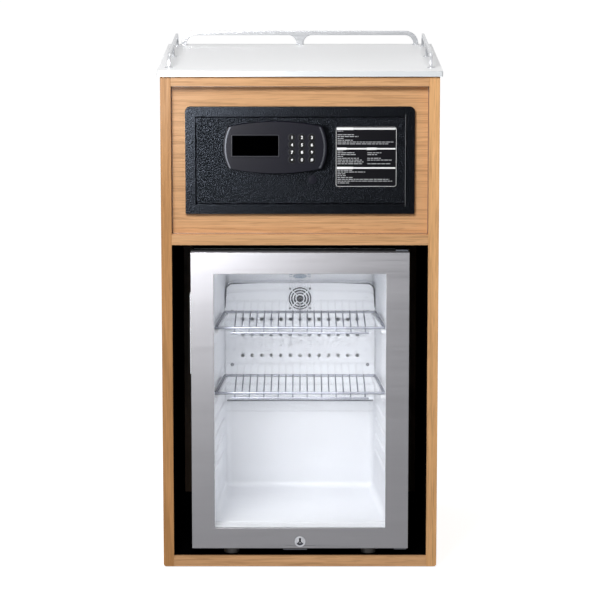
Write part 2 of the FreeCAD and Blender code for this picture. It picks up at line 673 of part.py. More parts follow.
def safe_battens():
    """Two battens that carry the safe on the shelf."""
    middle = (FASCIA_REAR + SAFE_REAR) / 2
    battens = []
    for side in (-1, 1):
        x = side * BATTEN_SPACING / 2
        batten = box(x - BATTEN_WIDTH / 2, x + BATTEN_WIDTH / 2, middle - BATTEN_LENGTH / 2,
                     middle + BATTEN_LENGTH / 2, SHELF_TOP, SAFE_BODY_BOTTOM)
        for ax, ay in anchor_places():
            if ax * side > 0:
                z = SAFE_BODY_BOTTOM + SAFE_WALL - ANCHOR_LENGTH
                batten = batten.cut(rod(ANCHOR_RADIUS + ANCHOR_CLEARANCE, (ax, ay, z),
                                        (ax, ay, SAFE_BODY_BOTTOM + 1)))
        battens.append(batten)
    return group(battens)


# ---------------------------------------------------------------- safe door
def safe_door_plate():
    """Door plate with its welded hinge bar, hinge pins and bolt guides."""
    plate = box(SAFE_DOOR_LEFT, SAFE_DOOR_RIGHT, SAFE_FRONT, SAFE_DOOR_BACK,
                SAFE_DOOR_BOTTOM, SAFE_DOOR_TOP)
    plate = rounded(plate, Y_AXIS, SAFE_DOOR_CORNER_RADIUS)
    half = HINGE_BLOCK_WIDTH / 2
    bar = box(SAFE_HINGE_X - half, SAFE_HINGE_X + half, SAFE_DOOR_BACK,
              SAFE_DOOR_BACK + HINGE_BLOCK_DEPTH, SAFE_DOOR_BOTTOM + SAFE_DOOR_GAP,
              SAFE_DOOR_TOP - SAFE_DOOR_GAP)
    reach = SAFE_PIN_REACH
    inset = SAFE_DOOR_GAP + 2 * SAFE_PIN_RADIUS
    pins = []
    for start, end in ((SAFE_DOOR_TOP - inset, SAFE_DOOR_TOP + reach),
                       (SAFE_DOOR_BOTTOM - reach, SAFE_DOOR_BOTTOM + inset)):
        pins.append(rod(SAFE_PIN_RADIUS, (SAFE_HINGE_X, SAFE_HINGE_Y, start),
                        (SAFE_HINGE_X, SAFE_HINGE_Y, end)))
    guides = []
    wall = BOLT_RADIUS + HINGE_RUNNING_CLEARANCE + GUIDE_WALL
    for z in BOLT_HEIGHTS:
        block = box(GUIDE_LEFT, GUIDE_RIGHT, SAFE_DOOR_BACK, BOLT_Y + wall, z - wall, z + wall)
        bore = rod(BOLT_RADIUS + HINGE_RUNNING_CLEARANCE, (GUIDE_LEFT - 1, BOLT_Y, z),
                   (GUIDE_RIGHT + 1, BOLT_Y, z))
        guides.append(block.cut(bore))
    return fuse([plate, bar] + pins + guides)


def cover_box():
    """The corner coordinates of the lock cover."""
    x0 = SAFE_DOOR_LEFT + COVER_LEFT_INSET
    return (x0, x0 + COVER_WIDTH, SAFE_DOOR_BACK, SAFE_DOOR_BACK + COVER_DEPTH,
            SAFE_CENTRE_Z - COVER_HEIGHT / 2, SAFE_CENTRE_Z + COVER_HEIGHT / 2)


def lock_cover():
    """The sheet cover over the lockwork, open to the door plate, with holes for the bolts."""
    x0, x1, y0, y1, z0, z1 = cover_box()
    w = COVER_WALL
    cover = ring((x0, x1, y0, y1, z0, z1), (x0 + w, x1 - w, y0 - 1, y1 - w, z0 + w, z1 - w))
    for z in BOLT_HEIGHTS:
        cover = cover.cut(rod(BOLT_RADIUS + BOLT_HOLE_CLEARANCE, (x0 - 1, BOLT_Y, z),
                              (x0 + w + 1, BOLT_Y, z)))
    return cover


def locking_bolts():
    """Two round bolts on one tie bar, drawn back."""
    end = BOLT_END_X
    bolts = [rod(BOLT_RADIUS, (BOLT_TIP_X, BOLT_Y, z), (end, BOLT_Y, z)) for z in BOLT_HEIGHTS]
    tie = box(end - TIE_WIDTH, end, BOLT_Y - TIE_THICKNESS / 2, BOLT_Y + TIE_THICKNESS / 2,
              BOLT_HEIGHTS[0], BOLT_HEIGHTS[1])
    return fuse(bolts + [tie])


# ---------------------------------------------------------------- safe keypad
def bulged(half_x, half_z, bulge, y0, y1):
    """A plate whose four sides bulge outwards as arcs, centred on the keypad."""
    cx, cz = KEYPAD_X, KEYPAD_Z
    a, b = half_x - bulge, half_z - bulge

    def at(x, z):
        return V(cx + x, y0, cz + z)

    corners = [(-a, -b), (a, -b), (a, b), (-a, b)]
    crowns = [(0, -half_z), (half_x, 0), (0, half_z), (-half_x, 0)]
    arcs = []
    for i in range(4):
        start, end = corners[i], corners[(i + 1) % 4]
        arcs.append(Part.Arc(at(*start), at(*crowns[i]), at(*end)).toShape())
    return Part.Face(Part.Wire(arcs)).extrude(V(0, y1 - y0, 0))


def key_place(index):
    """The middle of one key, counted from the top left."""
    row, column = divmod(index, KEY_COLUMNS)
    x = KEYPAD_X + KEY_CENTRE_X + (column - 1) * KEY_PITCH_X
    z = KEYPAD_Z + KEY_TOP_ROW - row * KEY_PITCH_Z
    return x, z


def display_box(margin, y0, y1):
    """The display's outline, grown by a margin."""
    x, z = KEYPAD_X + DISPLAY_CENTRE_X, KEYPAD_Z + DISPLAY_CENTRE_Z
    half_x, half_z = DISPLAY_WIDTH / 2 + margin, DISPLAY_HEIGHT / 2 + margin
    return box(x - half_x, x + half_x, y0, y1, z - half_z, z + half_z)


def keypad_housing():
    """The bulged housing, hollow behind its face, with key holes and the display's seat."""
    half_x, half_z = KEYPAD_WIDTH / 2, KEYPAD_HEIGHT / 2
    housing = bulged(half_x, half_z, KEYPAD_BULGE, KEYPAD_FRONT, SAFE_FRONT)
    hollow = bulged(half_x - KEYPAD_WALL, half_z - KEYPAD_WALL, KEYPAD_BULGE,
                    KEYPAD_FACE_BACK, SAFE_FRONT + 1)
    housing = housing.cut(hollow)
    for index in range(len(KEY_NAMES)):
        x, z = key_place(index)
        housing = housing.cut(rod(KEY_RADIUS + KEY_CLEARANCE, (x, KEYPAD_FRONT - 1, z),
                                  (x, KEYPAD_FACE_BACK + 1, z)))
    seat_back = KEYPAD_FRONT + DISPLAY_THICKNESS
    housing = housing.cut(display_box(DISPLAY_CLEARANCE, KEYPAD_FRONT - 1, seat_back))
    return housing.cut(display_box(-DISPLAY_LEDGE, KEYPAD_FRONT, KEYPAD_FACE_BACK + 1))


def display_window():
    """The dark window over the display."""
    return display_box(0, KEYPAD_FRONT, KEYPAD_FRONT + DISPLAY_THICKNESS)


def keypad_trims():
    """Two bright strips that follow the housing's bulged left and right edges."""
    outer = bulged(KEYPAD_WIDTH / 2 - TRIM_INSET, KEYPAD_HEIGHT / 2, KEYPAD_BULGE,
                   KEYPAD_FRONT - TRIM_THICKNESS, KEYPAD_FRONT)
    inner = bulged(KEYPAD_WIDTH / 2 - TRIM_INSET - TRIM_WIDTH, KEYPAD_HEIGHT / 2, KEYPAD_BULGE,
                   KEYPAD_FRONT - TRIM_THICKNESS - 1, KEYPAD_FRONT + 1)
    strips = outer.cut(inner)
    band = box(KEYPAD_X - KEYPAD_WIDTH, KEYPAD_X + KEYPAD_WIDTH, KEYPAD_FRONT - 2, KEYPAD_FRONT + 1,
               KEYPAD_Z - TRIM_HALF_HEIGHT, KEYPAD_Z + TRIM_HALF_HEIGHT)
    strips = strips.common(band)
    return group([s for s in strips.Solids if abs(s.CenterOfMass.x - KEYPAD_X) > KEYPAD_WIDTH / 4])


def key(index):
    """One round key: cap, retaining flange and stem."""
    x, z = key_place(index)
    flange_front = KEYPAD_FACE_BACK + KEY_FLANGE_GAP
    flange_back = flange_front + KEY_FLANGE_THICKNESS
    cap = rod(KEY_RADIUS, (x, KEYPAD_FRONT - KEY_PROUD, z), (x, flange_back, z))
    flange = rod(KEY_FLANGE_RADIUS, (x, flange_front, z), (x, flange_back, z))
    stem_end = SAFE_FRONT - KEY_STOP_GAP - KEY_TRAVEL
    stem = rod(KEY_STEM_RADIUS, (x, flange_front, z), (x, stem_end, z))
    return fuse([cap, flange, stem])


def instruction_plate():
    """The plain plate to the right of the keypad."""
    x, z = PLATE_CENTRE_X, SAFE_CENTRE_Z + PLATE_CENTRE_Z
    plate = box(x - PLATE_WIDTH / 2, x + PLATE_WIDTH / 2, SAFE_FRONT - PLATE_THICKNESS, SAFE_FRONT,
                z - PLATE_HEIGHT / 2, z + PLATE_HEIGHT / 2)
    return rounded(plate, Y_AXIS, PLATE_RADIUS)


def override_lock_cap():
    """The round cap over the override lock."""
    z = SAFE_CENTRE_Z + CAP_CENTRE_Z
    return rod(CAP_RADIUS, (CAP_CENTRE_X, SAFE_FRONT - CAP_THICKNESS, z), (CAP_CENTRE_X, SAFE_FRONT, z))


# ---------------------------------------------------------------- fridge body
def liner_half(y, extra=0.0):
    """Half the liner's inner width at a depth, plus an extra."""
    share = (y - FRIDGE_FRONT) / LINER_DEPTH
    return (LINER_FRONT_WIDTH + (LINER_REAR_WIDTH - LINER_FRONT_WIDTH) * share) / 2 + extra


def liner_block(extra, front):
    """The liner's space as a solid, grown by an extra on every side but the front."""
    rear = LINER_REAR + extra
    f, r = liner_half(front, extra), liner_half(LINER_REAR, extra)
    points = [(-f, front), (f, front), (r, rear), (-r, rear)]
    block = plan_prism(points, LINER_FLOOR - extra, LINER_CEILING + extra)
    inward = [e for e in block.Edges if e.CenterOfMass.y > front + 1]
    return block.makeFillet(LINER_CORNER_RADIUS + extra, inward)


def wall_strip(side, y0, y1, z0, z1, inner0, inner1):
    """A strip on the liner's side wall, from an inner edge into half the wall."""
    sink = LINER_WALL / 2
    points = [(inner0, y0), (liner_half(y0, sink), y0), (liner_half(y1, sink), y1), (inner1, y1)]
    return plan_prism([(side * x, y) for x, y in points], z0, z1)


def rack_half(y):
    """Half the width of a wire shelf at a depth, clear of the liner's side."""
    return liner_half(y, -SHELF_SIDE_GAP)


def shelf_z(rise):
    """Height of a shelf's frame wire."""
    return LINER_FLOOR + rise


def fridge_liner():
    """The white tapered liner with its front flange, shelf ledges and side ribs."""
    outer = liner_block(LINER_WALL, FRIDGE_FRONT)
    inner = liner_block(0.0, FRIDGE_FRONT - 1)
    edge = FRIDGE_HALF - FRIDGE_SHEET
    flange = box(-edge, edge, FRIDGE_FRONT, FRIDGE_FRONT + LINER_WALL,
                 FRIDGE_Z + FRIDGE_SHEET, FRIDGE_TOP - FRIDGE_SHEET)
    shell = outer.fuse(flange).cut(inner)
    strips = []
    rib_front = FRIDGE_FRONT + RIB_FRONT
    rib_rear = rib_front + RIB_LENGTH
    for side in (-1, 1):
        for rise in (SHELF_UPPER_RISE, SHELF_LOWER_RISE):
            top = shelf_z(rise) - SHELF_FRAME_RADIUS - SHELF_REST_GAP
            strips.append(wall_strip(side, RACK_FRONT, RACK_REAR, top - LEDGE_HEIGHT, top,
                                     rack_half(RACK_FRONT) - LEDGE_LAP, rack_half(RACK_REAR) - LEDGE_LAP))
        for i in range(RIB_COUNT):
            z = LINER_FLOOR + RIB_LOWEST + i * RIB_PITCH
            strips.append(wall_strip(side, rib_front, rib_rear, z, z + RIB_HEIGHT,
                                     liner_half(rib_front, -RIB_PROUD), liner_half(rib_rear, -RIB_PROUD)))
    return fuse([shell] + strips)


def fridge_wrap():
    """The dark outer sheet, open at the front."""
    w = FRIDGE_SHEET
    return ring((-FRIDGE_HALF, FRIDGE_HALF, FRIDGE_FRONT, FRIDGE_REAR, FRIDGE_Z, FRIDGE_TOP),
                (-FRIDGE_HALF + w, FRIDGE_HALF - w, FRIDGE_FRONT - 1, FRIDGE_REAR - w,
                 FRIDGE_Z + w, FRIDGE_TOP - w))


def fridge_insulation():
    """The foam between liner and wrap."""
    w = FRIDGE_SHEET
    foam = box(-FRIDGE_HALF + w, FRIDGE_HALF - w, FRIDGE_FRONT + LINER_WALL, FRIDGE_REAR - w,
               FRIDGE_Z + w, FRIDGE_TOP - w)
    return foam.cut(liner_block(LINER_WALL, FRIDGE_FRONT))


def fridge_base():
    """The steel tray under the fridge and its machine bay, with two tabs that carry the front feet."""
    half = BASE_WIDTH / 2
    tray = [box(-half, half, FRIDGE_FRONT, BASE_REAR, BASE_Z, FRIDGE_Z)]
    for x in (-FOOT_SPACING_X / 2, FOOT_SPACING_X / 2):
        tray.append(box(x - FOOT_TAB_WIDTH / 2, x + FOOT_TAB_WIDTH / 2, FRONT_FOOT_Y - FOOT_RADIUS,
                        FRIDGE_FRONT + FOOT_TAB_OVERLAP, BASE_Z, DOOR_Z - FOOT_TAB_GAP))
    return fuse(tray)


def fridge_feet():
    """Four round feet between tray and bay floor."""
    feet = []
    for x in (-FOOT_SPACING_X / 2, FOOT_SPACING_X / 2):
        for y in (FRONT_FOOT_Y, BASE_REAR - FOOT_INSET_Y):
            feet.append(rod(FOOT_RADIUS, (x, y, BAY_FLOOR_TOP), (x, y, BASE_Z)))
    return group(feet)


# ---------------------------------------------------------------- cold air parts
def panel_hood(y0, y1, inset):
    """The air panel's block between two depths: it follows the liner's taper, with round top corners."""
    front, rear = liner_half(y0, -PANEL_SIDE_GAP - inset), liner_half(y1, -PANEL_SIDE_GAP - inset)
    top = LINER_CEILING - PANEL_TOP_DROP - inset
    hood = plan_prism([(-front, y0), (front, y0), (rear, y1), (-rear, y1)], PANEL_BOTTOM + inset, top)
    corners = [e for e in hood.Edges if e.CenterOfMass.z > top - 1 and abs(e.CenterOfMass.x) > 1]
    return hood.makeFillet(PANEL_CORNER_RADIUS - inset, corners)


def air_panel():
    """The perforated panel with its returns, feet, fan duct, struts and motor boss."""
    t = PANEL_THICKNESS
    top = LINER_CEILING - PANEL_TOP_DROP
    return_end = LINER_REAR - LINER_CORNER_RADIUS - PANEL_CORNER_GAP
    panel = panel_hood(PANEL_FRONT, return_end, 0).cut(panel_hood(PANEL_FRONT + t, return_end + 1, t))
    sill_half = liner_half(LINER_REAR, -LINER_CORNER_RADIUS - PANEL_CORNER_GAP)
    feet = [box(-sill_half, sill_half, PANEL_FRONT, LINER_REAR, z, z + t) for z in (PANEL_BOTTOM, top - t)]
    foot_top = top - PANEL_FOOT_DROP
    for x in (-PANEL_FOOT_SPACING / 2, PANEL_FOOT_SPACING / 2):
        feet.append(box(x - PANEL_FOOT_WIDTH / 2, x + PANEL_FOOT_WIDTH / 2, PANEL_FRONT, LINER_REAR,
                        foot_top - PANEL_FOOT_WIDTH, foot_top))
    panel = fuse([panel] + feet)
    duct_end = PANEL_FRONT + FAN_DUCT_LENGTH
    duct = rod(FAN_OPENING_RADIUS + FAN_DUCT_WALL, (0, PANEL_FRONT, FAN_Z), (0, duct_end, FAN_Z))
    panel = panel.fuse(duct)
    panel = panel.cut(rod(FAN_OPENING_RADIUS, (0, PANEL_FRONT - 1, FAN_Z), (0, duct_end + 1, FAN_Z)))
    boss_front = fan_hub_back() + FAN_REAR_GAP
    boss_back = boss_front + FAN_BOSS_LENGTH
    boss = rod(FAN_BOSS_RADIUS, (0, boss_front, FAN_Z), (0, boss_back, FAN_Z))
    struts = []
    for i in range(3):
        strut = box(0, FAN_OPENING_RADIUS + FAN_DUCT_WALL / 2, boss_front, boss_front + FAN_STRUT_WIDTH,
                    FAN_Z - FAN_STRUT_WIDTH / 2, FAN_Z + FAN_STRUT_WIDTH / 2)
        strut.rotate(V(0, boss_front, FAN_Z), Y_AXIS, 90 + 120 * i)
        struts.append(strut)
    panel = fuse([panel, boss] + struts)
    bore = FAN_SHAFT_RADIUS + HINGE_RUNNING_CLEARANCE
    panel = panel.cut(rod(bore, (0, boss_front - 1, FAN_Z), (0, boss_back + 1, FAN_Z)))
    holes = []
    for drop in HOLE_ROWS_BELOW_FAN:
        for i in range(HOLES_PER_ROW):
            x = (i - (HOLES_PER_ROW - 1) / 2) * HOLE_PITCH
            z = FAN_Z - drop
            holes.append(rod(HOLE_RADIUS, (x, PANEL_FRONT - 1, z), (x, PANEL_FRONT + t + 1, z)))
    return panel.cut(group(holes))


def fan_hub_back():
    """Where the fan's hub ends."""
    return PANEL_FRONT + FAN_FRONT_GAP + FAN_HUB_LENGTH


def fan_rotor():
    """The hub with slanted blades and its shaft."""
    y0, y1 = PANEL_FRONT + FAN_FRONT_GAP, fan_hub_back()
    middle = (y0 + y1) / 2
    hub = rod(FAN_HUB_RADIUS, (0, y0, FAN_Z), (0, y1, FAN_Z))
    shaft = rod(FAN_SHAFT_RADIUS, (0, y1 - 1, FAN_Z), (0, y1 + FAN_REAR_GAP + FAN_SHAFT_LENGTH - 1, FAN_Z))
    blades = []
    width = FAN_HUB_LENGTH / math.cos(math.radians(FAN_BLADE_PITCH_DEG)) - 2 * FAN_BLADE_THICKNESS
    for i in range(FAN_BLADES):
        blade = box(-FAN_BLADE_THICKNESS / 2, FAN_BLADE_THICKNESS / 2, middle - width / 2,
                    middle + width / 2, FAN_Z + FAN_HUB_RADIUS / 2, FAN_Z + FAN_BLADE_RADIUS)
        blade.rotate(V(0, middle, FAN_Z), Z_AXIS, FAN_BLADE_PITCH_DEG)
        blade.rotate(V(0, middle, FAN_Z), Y_AXIS, 360.0 * i / FAN_BLADES)
        blades.append(blade)
    sweep = rod(FAN_BLADE_RADIUS, (0, y0 + 1, FAN_Z), (0, y1 - 1, FAN_Z))
    return fuse([hub, shaft] + [blade.common(sweep) for blade in blades])


def fan_grille():
    """Concentric rings over the fan opening, joined by four slanting spokes."""
    y0, y1 = PANEL_FRONT - GRILLE_THICKNESS, PANEL_FRONT
    pieces = []
    for i in range(GRILLE_RINGS):
        outer = GRILLE_RADIUS - i * GRILLE_RING_STEP
        disc = rod(outer, (0, y0, FAN_Z), (0, y1, FAN_Z))
        pieces.append(disc.cut(rod(outer - GRILLE_RING_WIDTH, (0, y0 - 1, FAN_Z), (0, y1 + 1, FAN_Z))))
    half = GRILLE_RING_WIDTH / 2
    inner, reach = outer - half, GRILLE_RADIUS - half
    for i in range(GRILLE_SPOKES):
        spoke = box(inner, reach, y0, y1, FAN_Z - half, FAN_Z + half)
        spoke.rotate(V(0, y0, FAN_Z), Y_AXIS, 360.0 * (i + 0.5) / GRILLE_SPOKES)
        pieces.append(spoke)
    return fuse(pieces)


def lamp_housing():
    """The lamp under the liner's ceiling."""
    y0 = FRIDGE_FRONT + LAMP_SETBACK
    half = LAMP_WIDTH / 2
    lamp = box(-half, half, y0, y0 + LAMP_DEPTH, LINER_CEILING - LAMP_HEIGHT, LINER_CEILING)
    return rounded(lamp, Y_AXIS, LAMP_RADIUS, lambda p: p.z < LINER_CEILING - 1)


def evaporator():
    """Finned cold plate on the liner's rear wall, behind the air panel."""
    half = EVAPORATOR_WIDTH / 2
    z0 = LINER_FLOOR + EVAPORATOR_RISE
    middle = z0 + EVAPORATOR_HEIGHT / 2
    core = box(-half, half, LINER_REAR - EVAPORATOR_CORE_DEPTH, LINER_REAR,
               middle - EVAPORATOR_CORE_HEIGHT / 2, middle + EVAPORATOR_CORE_HEIGHT / 2)
    fins = []
    for i in range(EVAPORATOR_FINS):
        x = -half + (EVAPORATOR_WIDTH - EVAPORATOR_FIN_THICKNESS) * i / (EVAPORATOR_FINS - 1)
        fins.append(box(x, x + EVAPORATOR_FIN_THICKNESS, LINER_REAR - EVAPORATOR_DEPTH, LINER_REAR,
                        z0, z0 + EVAPORATOR_HEIGHT))
    return fuse([core] + fins)


# ---------------------------------------------------------------- shelves
def shelf_rack(rise):
    """A tapered wire shelf: frame, long wires on top, and a lower front rail on short drops."""
    z = shelf_z(rise)
    r, w = SHELF_FRAME_RADIUS, SHELF_WIRE_RADIUS
    y0, y1 = RACK_FRONT + r, RACK_REAR - r
    front, rear = rack_half(y0) - r, rack_half(y1) - r
    corners = [(-front, y0, z), (front, y0, z), (rear, y1, z), (-rear, y1, z)]
    pieces = []
    for i in range(4):
        pieces.append(rod(r, corners[i], corners[(i + 1) % 4]))
        pieces.append(Part.makeSphere(r, V(*corners[i])))
    span = (SHELF_WIRE_COUNT - 1) / 2 * SHELF_WIRE_PITCH
    low = z - SHELF_DROP_HEIGHT
    lower = span + SHELF_WIRE_PITCH / 2
    pieces.append(rod(r * 0.8, (-lower, y0, low), (lower, y0, low)))
    wire_z = z + r - w / 2
    for i in range(SHELF_WIRE_COUNT):
        x = -span + i * SHELF_WIRE_PITCH
        pieces.append(rod(w, (x, y0, wire_z), (x, y1, wire_z)))
        if i % 2 == 0:
            pieces.append(rod(w, (x, y0, low), (x, y0, z)))
    return fuse(pieces)


# ---------------------------------------------------------------- machine bay
def compressor():
    """The compressor on its two mounts."""
    y = FRIDGE_REAR + COMPRESSOR_GAP + COMPRESSOR_RADIUS
    z = FRIDGE_Z + COMPRESSOR_MOUNT_HEIGHT + COMPRESSOR_RADIUS
    x0, x1 = COMPRESSOR_X - COMPRESSOR_LENGTH / 2, COMPRESSOR_X + COMPRESSOR_LENGTH / 2
    drum = rod(COMPRESSOR_RADIUS, (x0, y, z), (x1, y, z))
    rims = [e for e in drum.Edges if isinstance(e.Curve, Part.Circle)]
    drum = drum.makeFillet(COMPRESSOR_RADIUS / 2, rims)
    mounts = []
    foot = COMPRESSOR_RADIUS / 2
    for x in (COMPRESSOR_X - COMPRESSOR_LENGTH / 4, COMPRESSOR_X + COMPRESSOR_LENGTH / 4):
        mounts.append(box(x - foot / 2, x + foot / 2, y - foot, y + foot, FRIDGE_Z, z - foot))
    return fuse([drum] + mounts)


def condenser():
    """A serpentine tube on two straps behind the fridge."""
    r = CONDENSER_TUBE_RADIUS
    y = FRIDGE_REAR + CONDENSER_STANDOFF
    half = CONDENSER_WIDTH / 2
    bend = CONDENSER_PITCH / 2
    lowest = FRIDGE_Z + CONDENSER_LOWEST
    pieces = []
    for i in range(CONDENSER_RUNS):
        z = lowest + i * CONDENSER_PITCH
        pieces.append(rod(r, (-half, y, z), (half, y, z)))
        if i < CONDENSER_RUNS - 1:
            side = 1 if i % 2 == 0 else -1
            start, end = V(side * half, y, z), V(side * half, y, z + CONDENSER_PITCH)
            crown = V(side * (half + bend), y, z + bend)
            path = Part.Wire([Part.Arc(start, crown, end).toShape()])
            disc = Part.Wire([Part.makeCircle(r, start, V(side, 0, 0))])
            pieces.append(path.makePipeShell([disc], True, True))
    strap = CONDENSER_STRAP_THICKNESS / 2
    top = lowest + (CONDENSER_RUNS - 1) * CONDENSER_PITCH + 2 * r
    for x in (-CONDENSER_STRAP_SPACING / 2, CONDENSER_STRAP_SPACING / 2):
        pieces.append(box(x - strap, x + strap, FRIDGE_REAR, y + r / 2, lowest - 2 * r, top))
    return fuse(pieces)


def power_inlet():
    """The appliance inlet at the rear of the tray, with an empty socket."""
    y1 = BASE_REAR
    half = INLET_WIDTH / 2
    block = box(INLET_X - half, INLET_X + half, y1 - INLET_DEPTH, y1, FRIDGE_Z, FRIDGE_Z + INLET_HEIGHT)
    middle = FRIDGE_Z + INLET_HEIGHT / 2
    hole_x, hole_z = INLET_SOCKET_WIDTH / 2, INLET_SOCKET_HEIGHT / 2
    return block.cut(box(INLET_X - hole_x, INLET_X + hole_x, y1 - INLET_SOCKET_DEPTH, y1 + 1,
                         middle - hole_z, middle + hole_z))


# ---------------------------------------------------------------- fridge door
def hinge_heights():
    """The two ends of the door, as (edge height, direction into the door)."""
    return ((DOOR_Z, 1), (DOOR_TOP, -1))


def cam_slot(z0, z1):
    """The slot that the cam turns through, at a level below the lock."""
    level = LOCK_Z - z1
    reach = math.sqrt(CAM_TIP_RADIUS ** 2 - level ** 2) + CAM_SLOT_CLEARANCE
    right = CAM_WIDTH / 2 + CAM_SLOT_CLEARANCE
    return box(-reach, right, CAM_FRONT - CAM_SLOT_CLEARANCE, CAM_BACK + CAM_SLOT_CLEARANCE,
               z0 - 1, z1 + 1)


def door_frame():
    """The folded steel face of the door, hollow behind, with the glass opening's lip."""
    s = DOOR_SHEET
    back = FRONT_Y + DOOR_STEEL_DEPTH
    tray = ring((-DOOR_HALF, DOOR_HALF, FRONT_Y, back, DOOR_Z, DOOR_TOP),
                (-DOOR_HALF + s, DOOR_HALF - s, FRONT_Y + s, back + 1, DOOR_Z + s, DOOR_TOP - s))
    lip = box(-GLASS_HALF - s, GLASS_HALF + s, FRONT_Y + s / 2, PANE_FRONT, GLASS_Z - s, GLASS_TOP + s)
    tray = tray.fuse(lip)
    tray = tray.cut(box(-GLASS_HALF, GLASS_HALF, FRONT_Y - 1, PANE_FRONT + 1, GLASS_Z, GLASS_TOP))
    hole = LOCK_BARREL_RADIUS + LOCK_BARREL_CLEARANCE
    tray = tray.cut(rod(hole, (0, FRONT_Y - 1, LOCK_Z), (0, FRONT_Y + s + 1, LOCK_Z)))
    tray = tray.cut(cam_slot(DOOR_Z, DOOR_Z + s))
    for edge, way in hinge_heights():
        start, end = edge - way, edge + way * 2 * s
        tray = tray.cut(rod(HINGE_PIN_RADIUS + HINGE_SHEET_CLEARANCE, (DOOR_HINGE_X, DOOR_HINGE_Y, start),
                            (DOOR_HINGE_X, DOOR_HINGE_Y, end)))
    return tray.removeSplitter()


def door_inner_frame():
    """The plastic inner frame with its cuff round the panes and hinge bushes, and the pane spacer."""
    steel_back = FRONT_Y + DOOR_STEEL_DEPTH
    s = DOOR_SHEET
    rear = ring((-DOOR_HALF, DOOR_HALF, steel_back, DOOR_BACK, DOOR_Z, DOOR_TOP),
                (-GLASS_HALF, GLASS_HALF, steel_back - 1, DOOR_BACK + 1, GLASS_Z, GLASS_TOP))
    fill_half = DOOR_HALF - s
    fill = ring((-fill_half, fill_half, PANE_REAR_BACK, steel_back, DOOR_Z + s, DOOR_TOP - s),
                (-GLASS_HALF, GLASS_HALF, PANE_REAR_BACK - 1, steel_back + 1, GLASS_Z, GLASS_TOP))
    edge = PANE_OVERLAP + PANE_CLEARANCE
    cuff = ring((-GLASS_HALF - edge - CUFF_WALL, GLASS_HALF + edge + CUFF_WALL, PANE_FRONT, PANE_REAR_BACK,
                 GLASS_Z - edge - CUFF_WALL, GLASS_TOP + edge + CUFF_WALL),
                (-GLASS_HALF - edge, GLASS_HALF + edge, PANE_FRONT - 1, PANE_REAR_BACK + 1,
                 GLASS_Z - edge, GLASS_TOP + edge))
    depth = HINGE_PIN_LENGTH + HINGE_PIN_END_GAP
    front = DOOR_HINGE_Y - BUSH_FRONT_REACH
    bushes = []
    for level, way in hinge_heights():
        z0, z1 = sorted((level + way * s, level + way * (depth + s)))
        bushes.append(box(DOOR_HALF - s - BUSH_WIDTH, DOOR_HALF - s, front, PANE_REAR_BACK, z0, z1))
    body = fuse([rear, fill, cuff] + bushes)
    bore = HINGE_PIN_RADIUS + HINGE_RUNNING_CLEARANCE
    for level, way in hinge_heights():
        body = body.cut(rod(bore, (DOOR_HINGE_X, DOOR_HINGE_Y, level),
                            (DOOR_HINGE_X, DOOR_HINGE_Y, level + way * depth)))
    spacer = ring((-GLASS_HALF - SPACER_WIDTH, GLASS_HALF + SPACER_WIDTH, PANE_FRONT_BACK, PANE_REAR,
                   GLASS_Z - SPACER_WIDTH, GLASS_TOP + SPACER_WIDTH),
                  (-GLASS_HALF, GLASS_HALF, PANE_FRONT_BACK - 1, PANE_REAR + 1, GLASS_Z, GLASS_TOP))
    return group([body, spacer])


def door_glass():
    """The front and rear panes."""
    half = GLASS_HALF + PANE_OVERLAP
    z0, z1 = GLASS_Z - PANE_OVERLAP, GLASS_TOP + PANE_OVERLAP
    return group([box(-half, half, y, y + PANE_THICKNESS, z0, z1) for y in (PANE_FRONT, PANE_REAR)])


def door_gasket():
    """The soft seal on the back of the door."""
    half = DOOR_HALF - GASKET_EDGE
    return frame_ring(half, DOOR_Z + GASKET_EDGE, DOOR_TOP - GASKET_EDGE, GASKET_WIDTH,
                      DOOR_BACK, FRIDGE_FRONT - GASKET_GAP)


def door_pull():
    """The slim strip on the door's free edge."""
    y0 = FRONT_Y + PULL_SETBACK
    return box(-DOOR_HALF - PULL_PROUD, -DOOR_HALF, y0, y0 + PULL_DEPTH, PULL_Z, PULL_Z + PULL_LENGTH)


def hinge_plate(z0, z1, pin_start, pin_end):
    """One hinge: a flat plate fixed to the fridge, with a pin into the door."""
    x1 = FRIDGE_HALF
    y0 = DOOR_HINGE_Y - BUSH_FRONT_REACH
    plate = box(x1 - HINGE_PLATE_WIDTH, x1, y0, FRIDGE_FRONT + HINGE_PLATE_OVERLAP, z0, z1)
    pin = rod(HINGE_PIN_RADIUS, (DOOR_HINGE_X, DOOR_HINGE_Y, pin_start),
              (DOOR_HINGE_X, DOOR_HINGE_Y, pin_end))
    return fuse([plate, pin])


def door_hinges():
    """The bottom and top hinges."""
    t = HINGE_PLATE_THICKNESS
    bottom = hinge_plate(BASE_Z - t, BASE_Z, BASE_Z - t / 2, DOOR_Z + HINGE_PIN_LENGTH)
    top = hinge_plate(FRIDGE_TOP, FRIDGE_TOP + t, FRIDGE_TOP + t / 2, DOOR_TOP - HINGE_PIN_LENGTH)
    return group([bottom, top])


def lock_striker():
    """The plate under the door that the cam drops through."""
    y0 = CAM_FRONT - CAM_SLOT_CLEARANCE - STRIKER_FRONT_MARGIN
    z0, z1 = BASE_Z - STRIKER_THICKNESS, BASE_Z
    plate = box(-STRIKER_LEFT, STRIKER_RIGHT, y0, FRIDGE_FRONT + HINGE_PLATE_OVERLAP, z0, z1)
    return plate.cut(cam_slot(z0, z1))


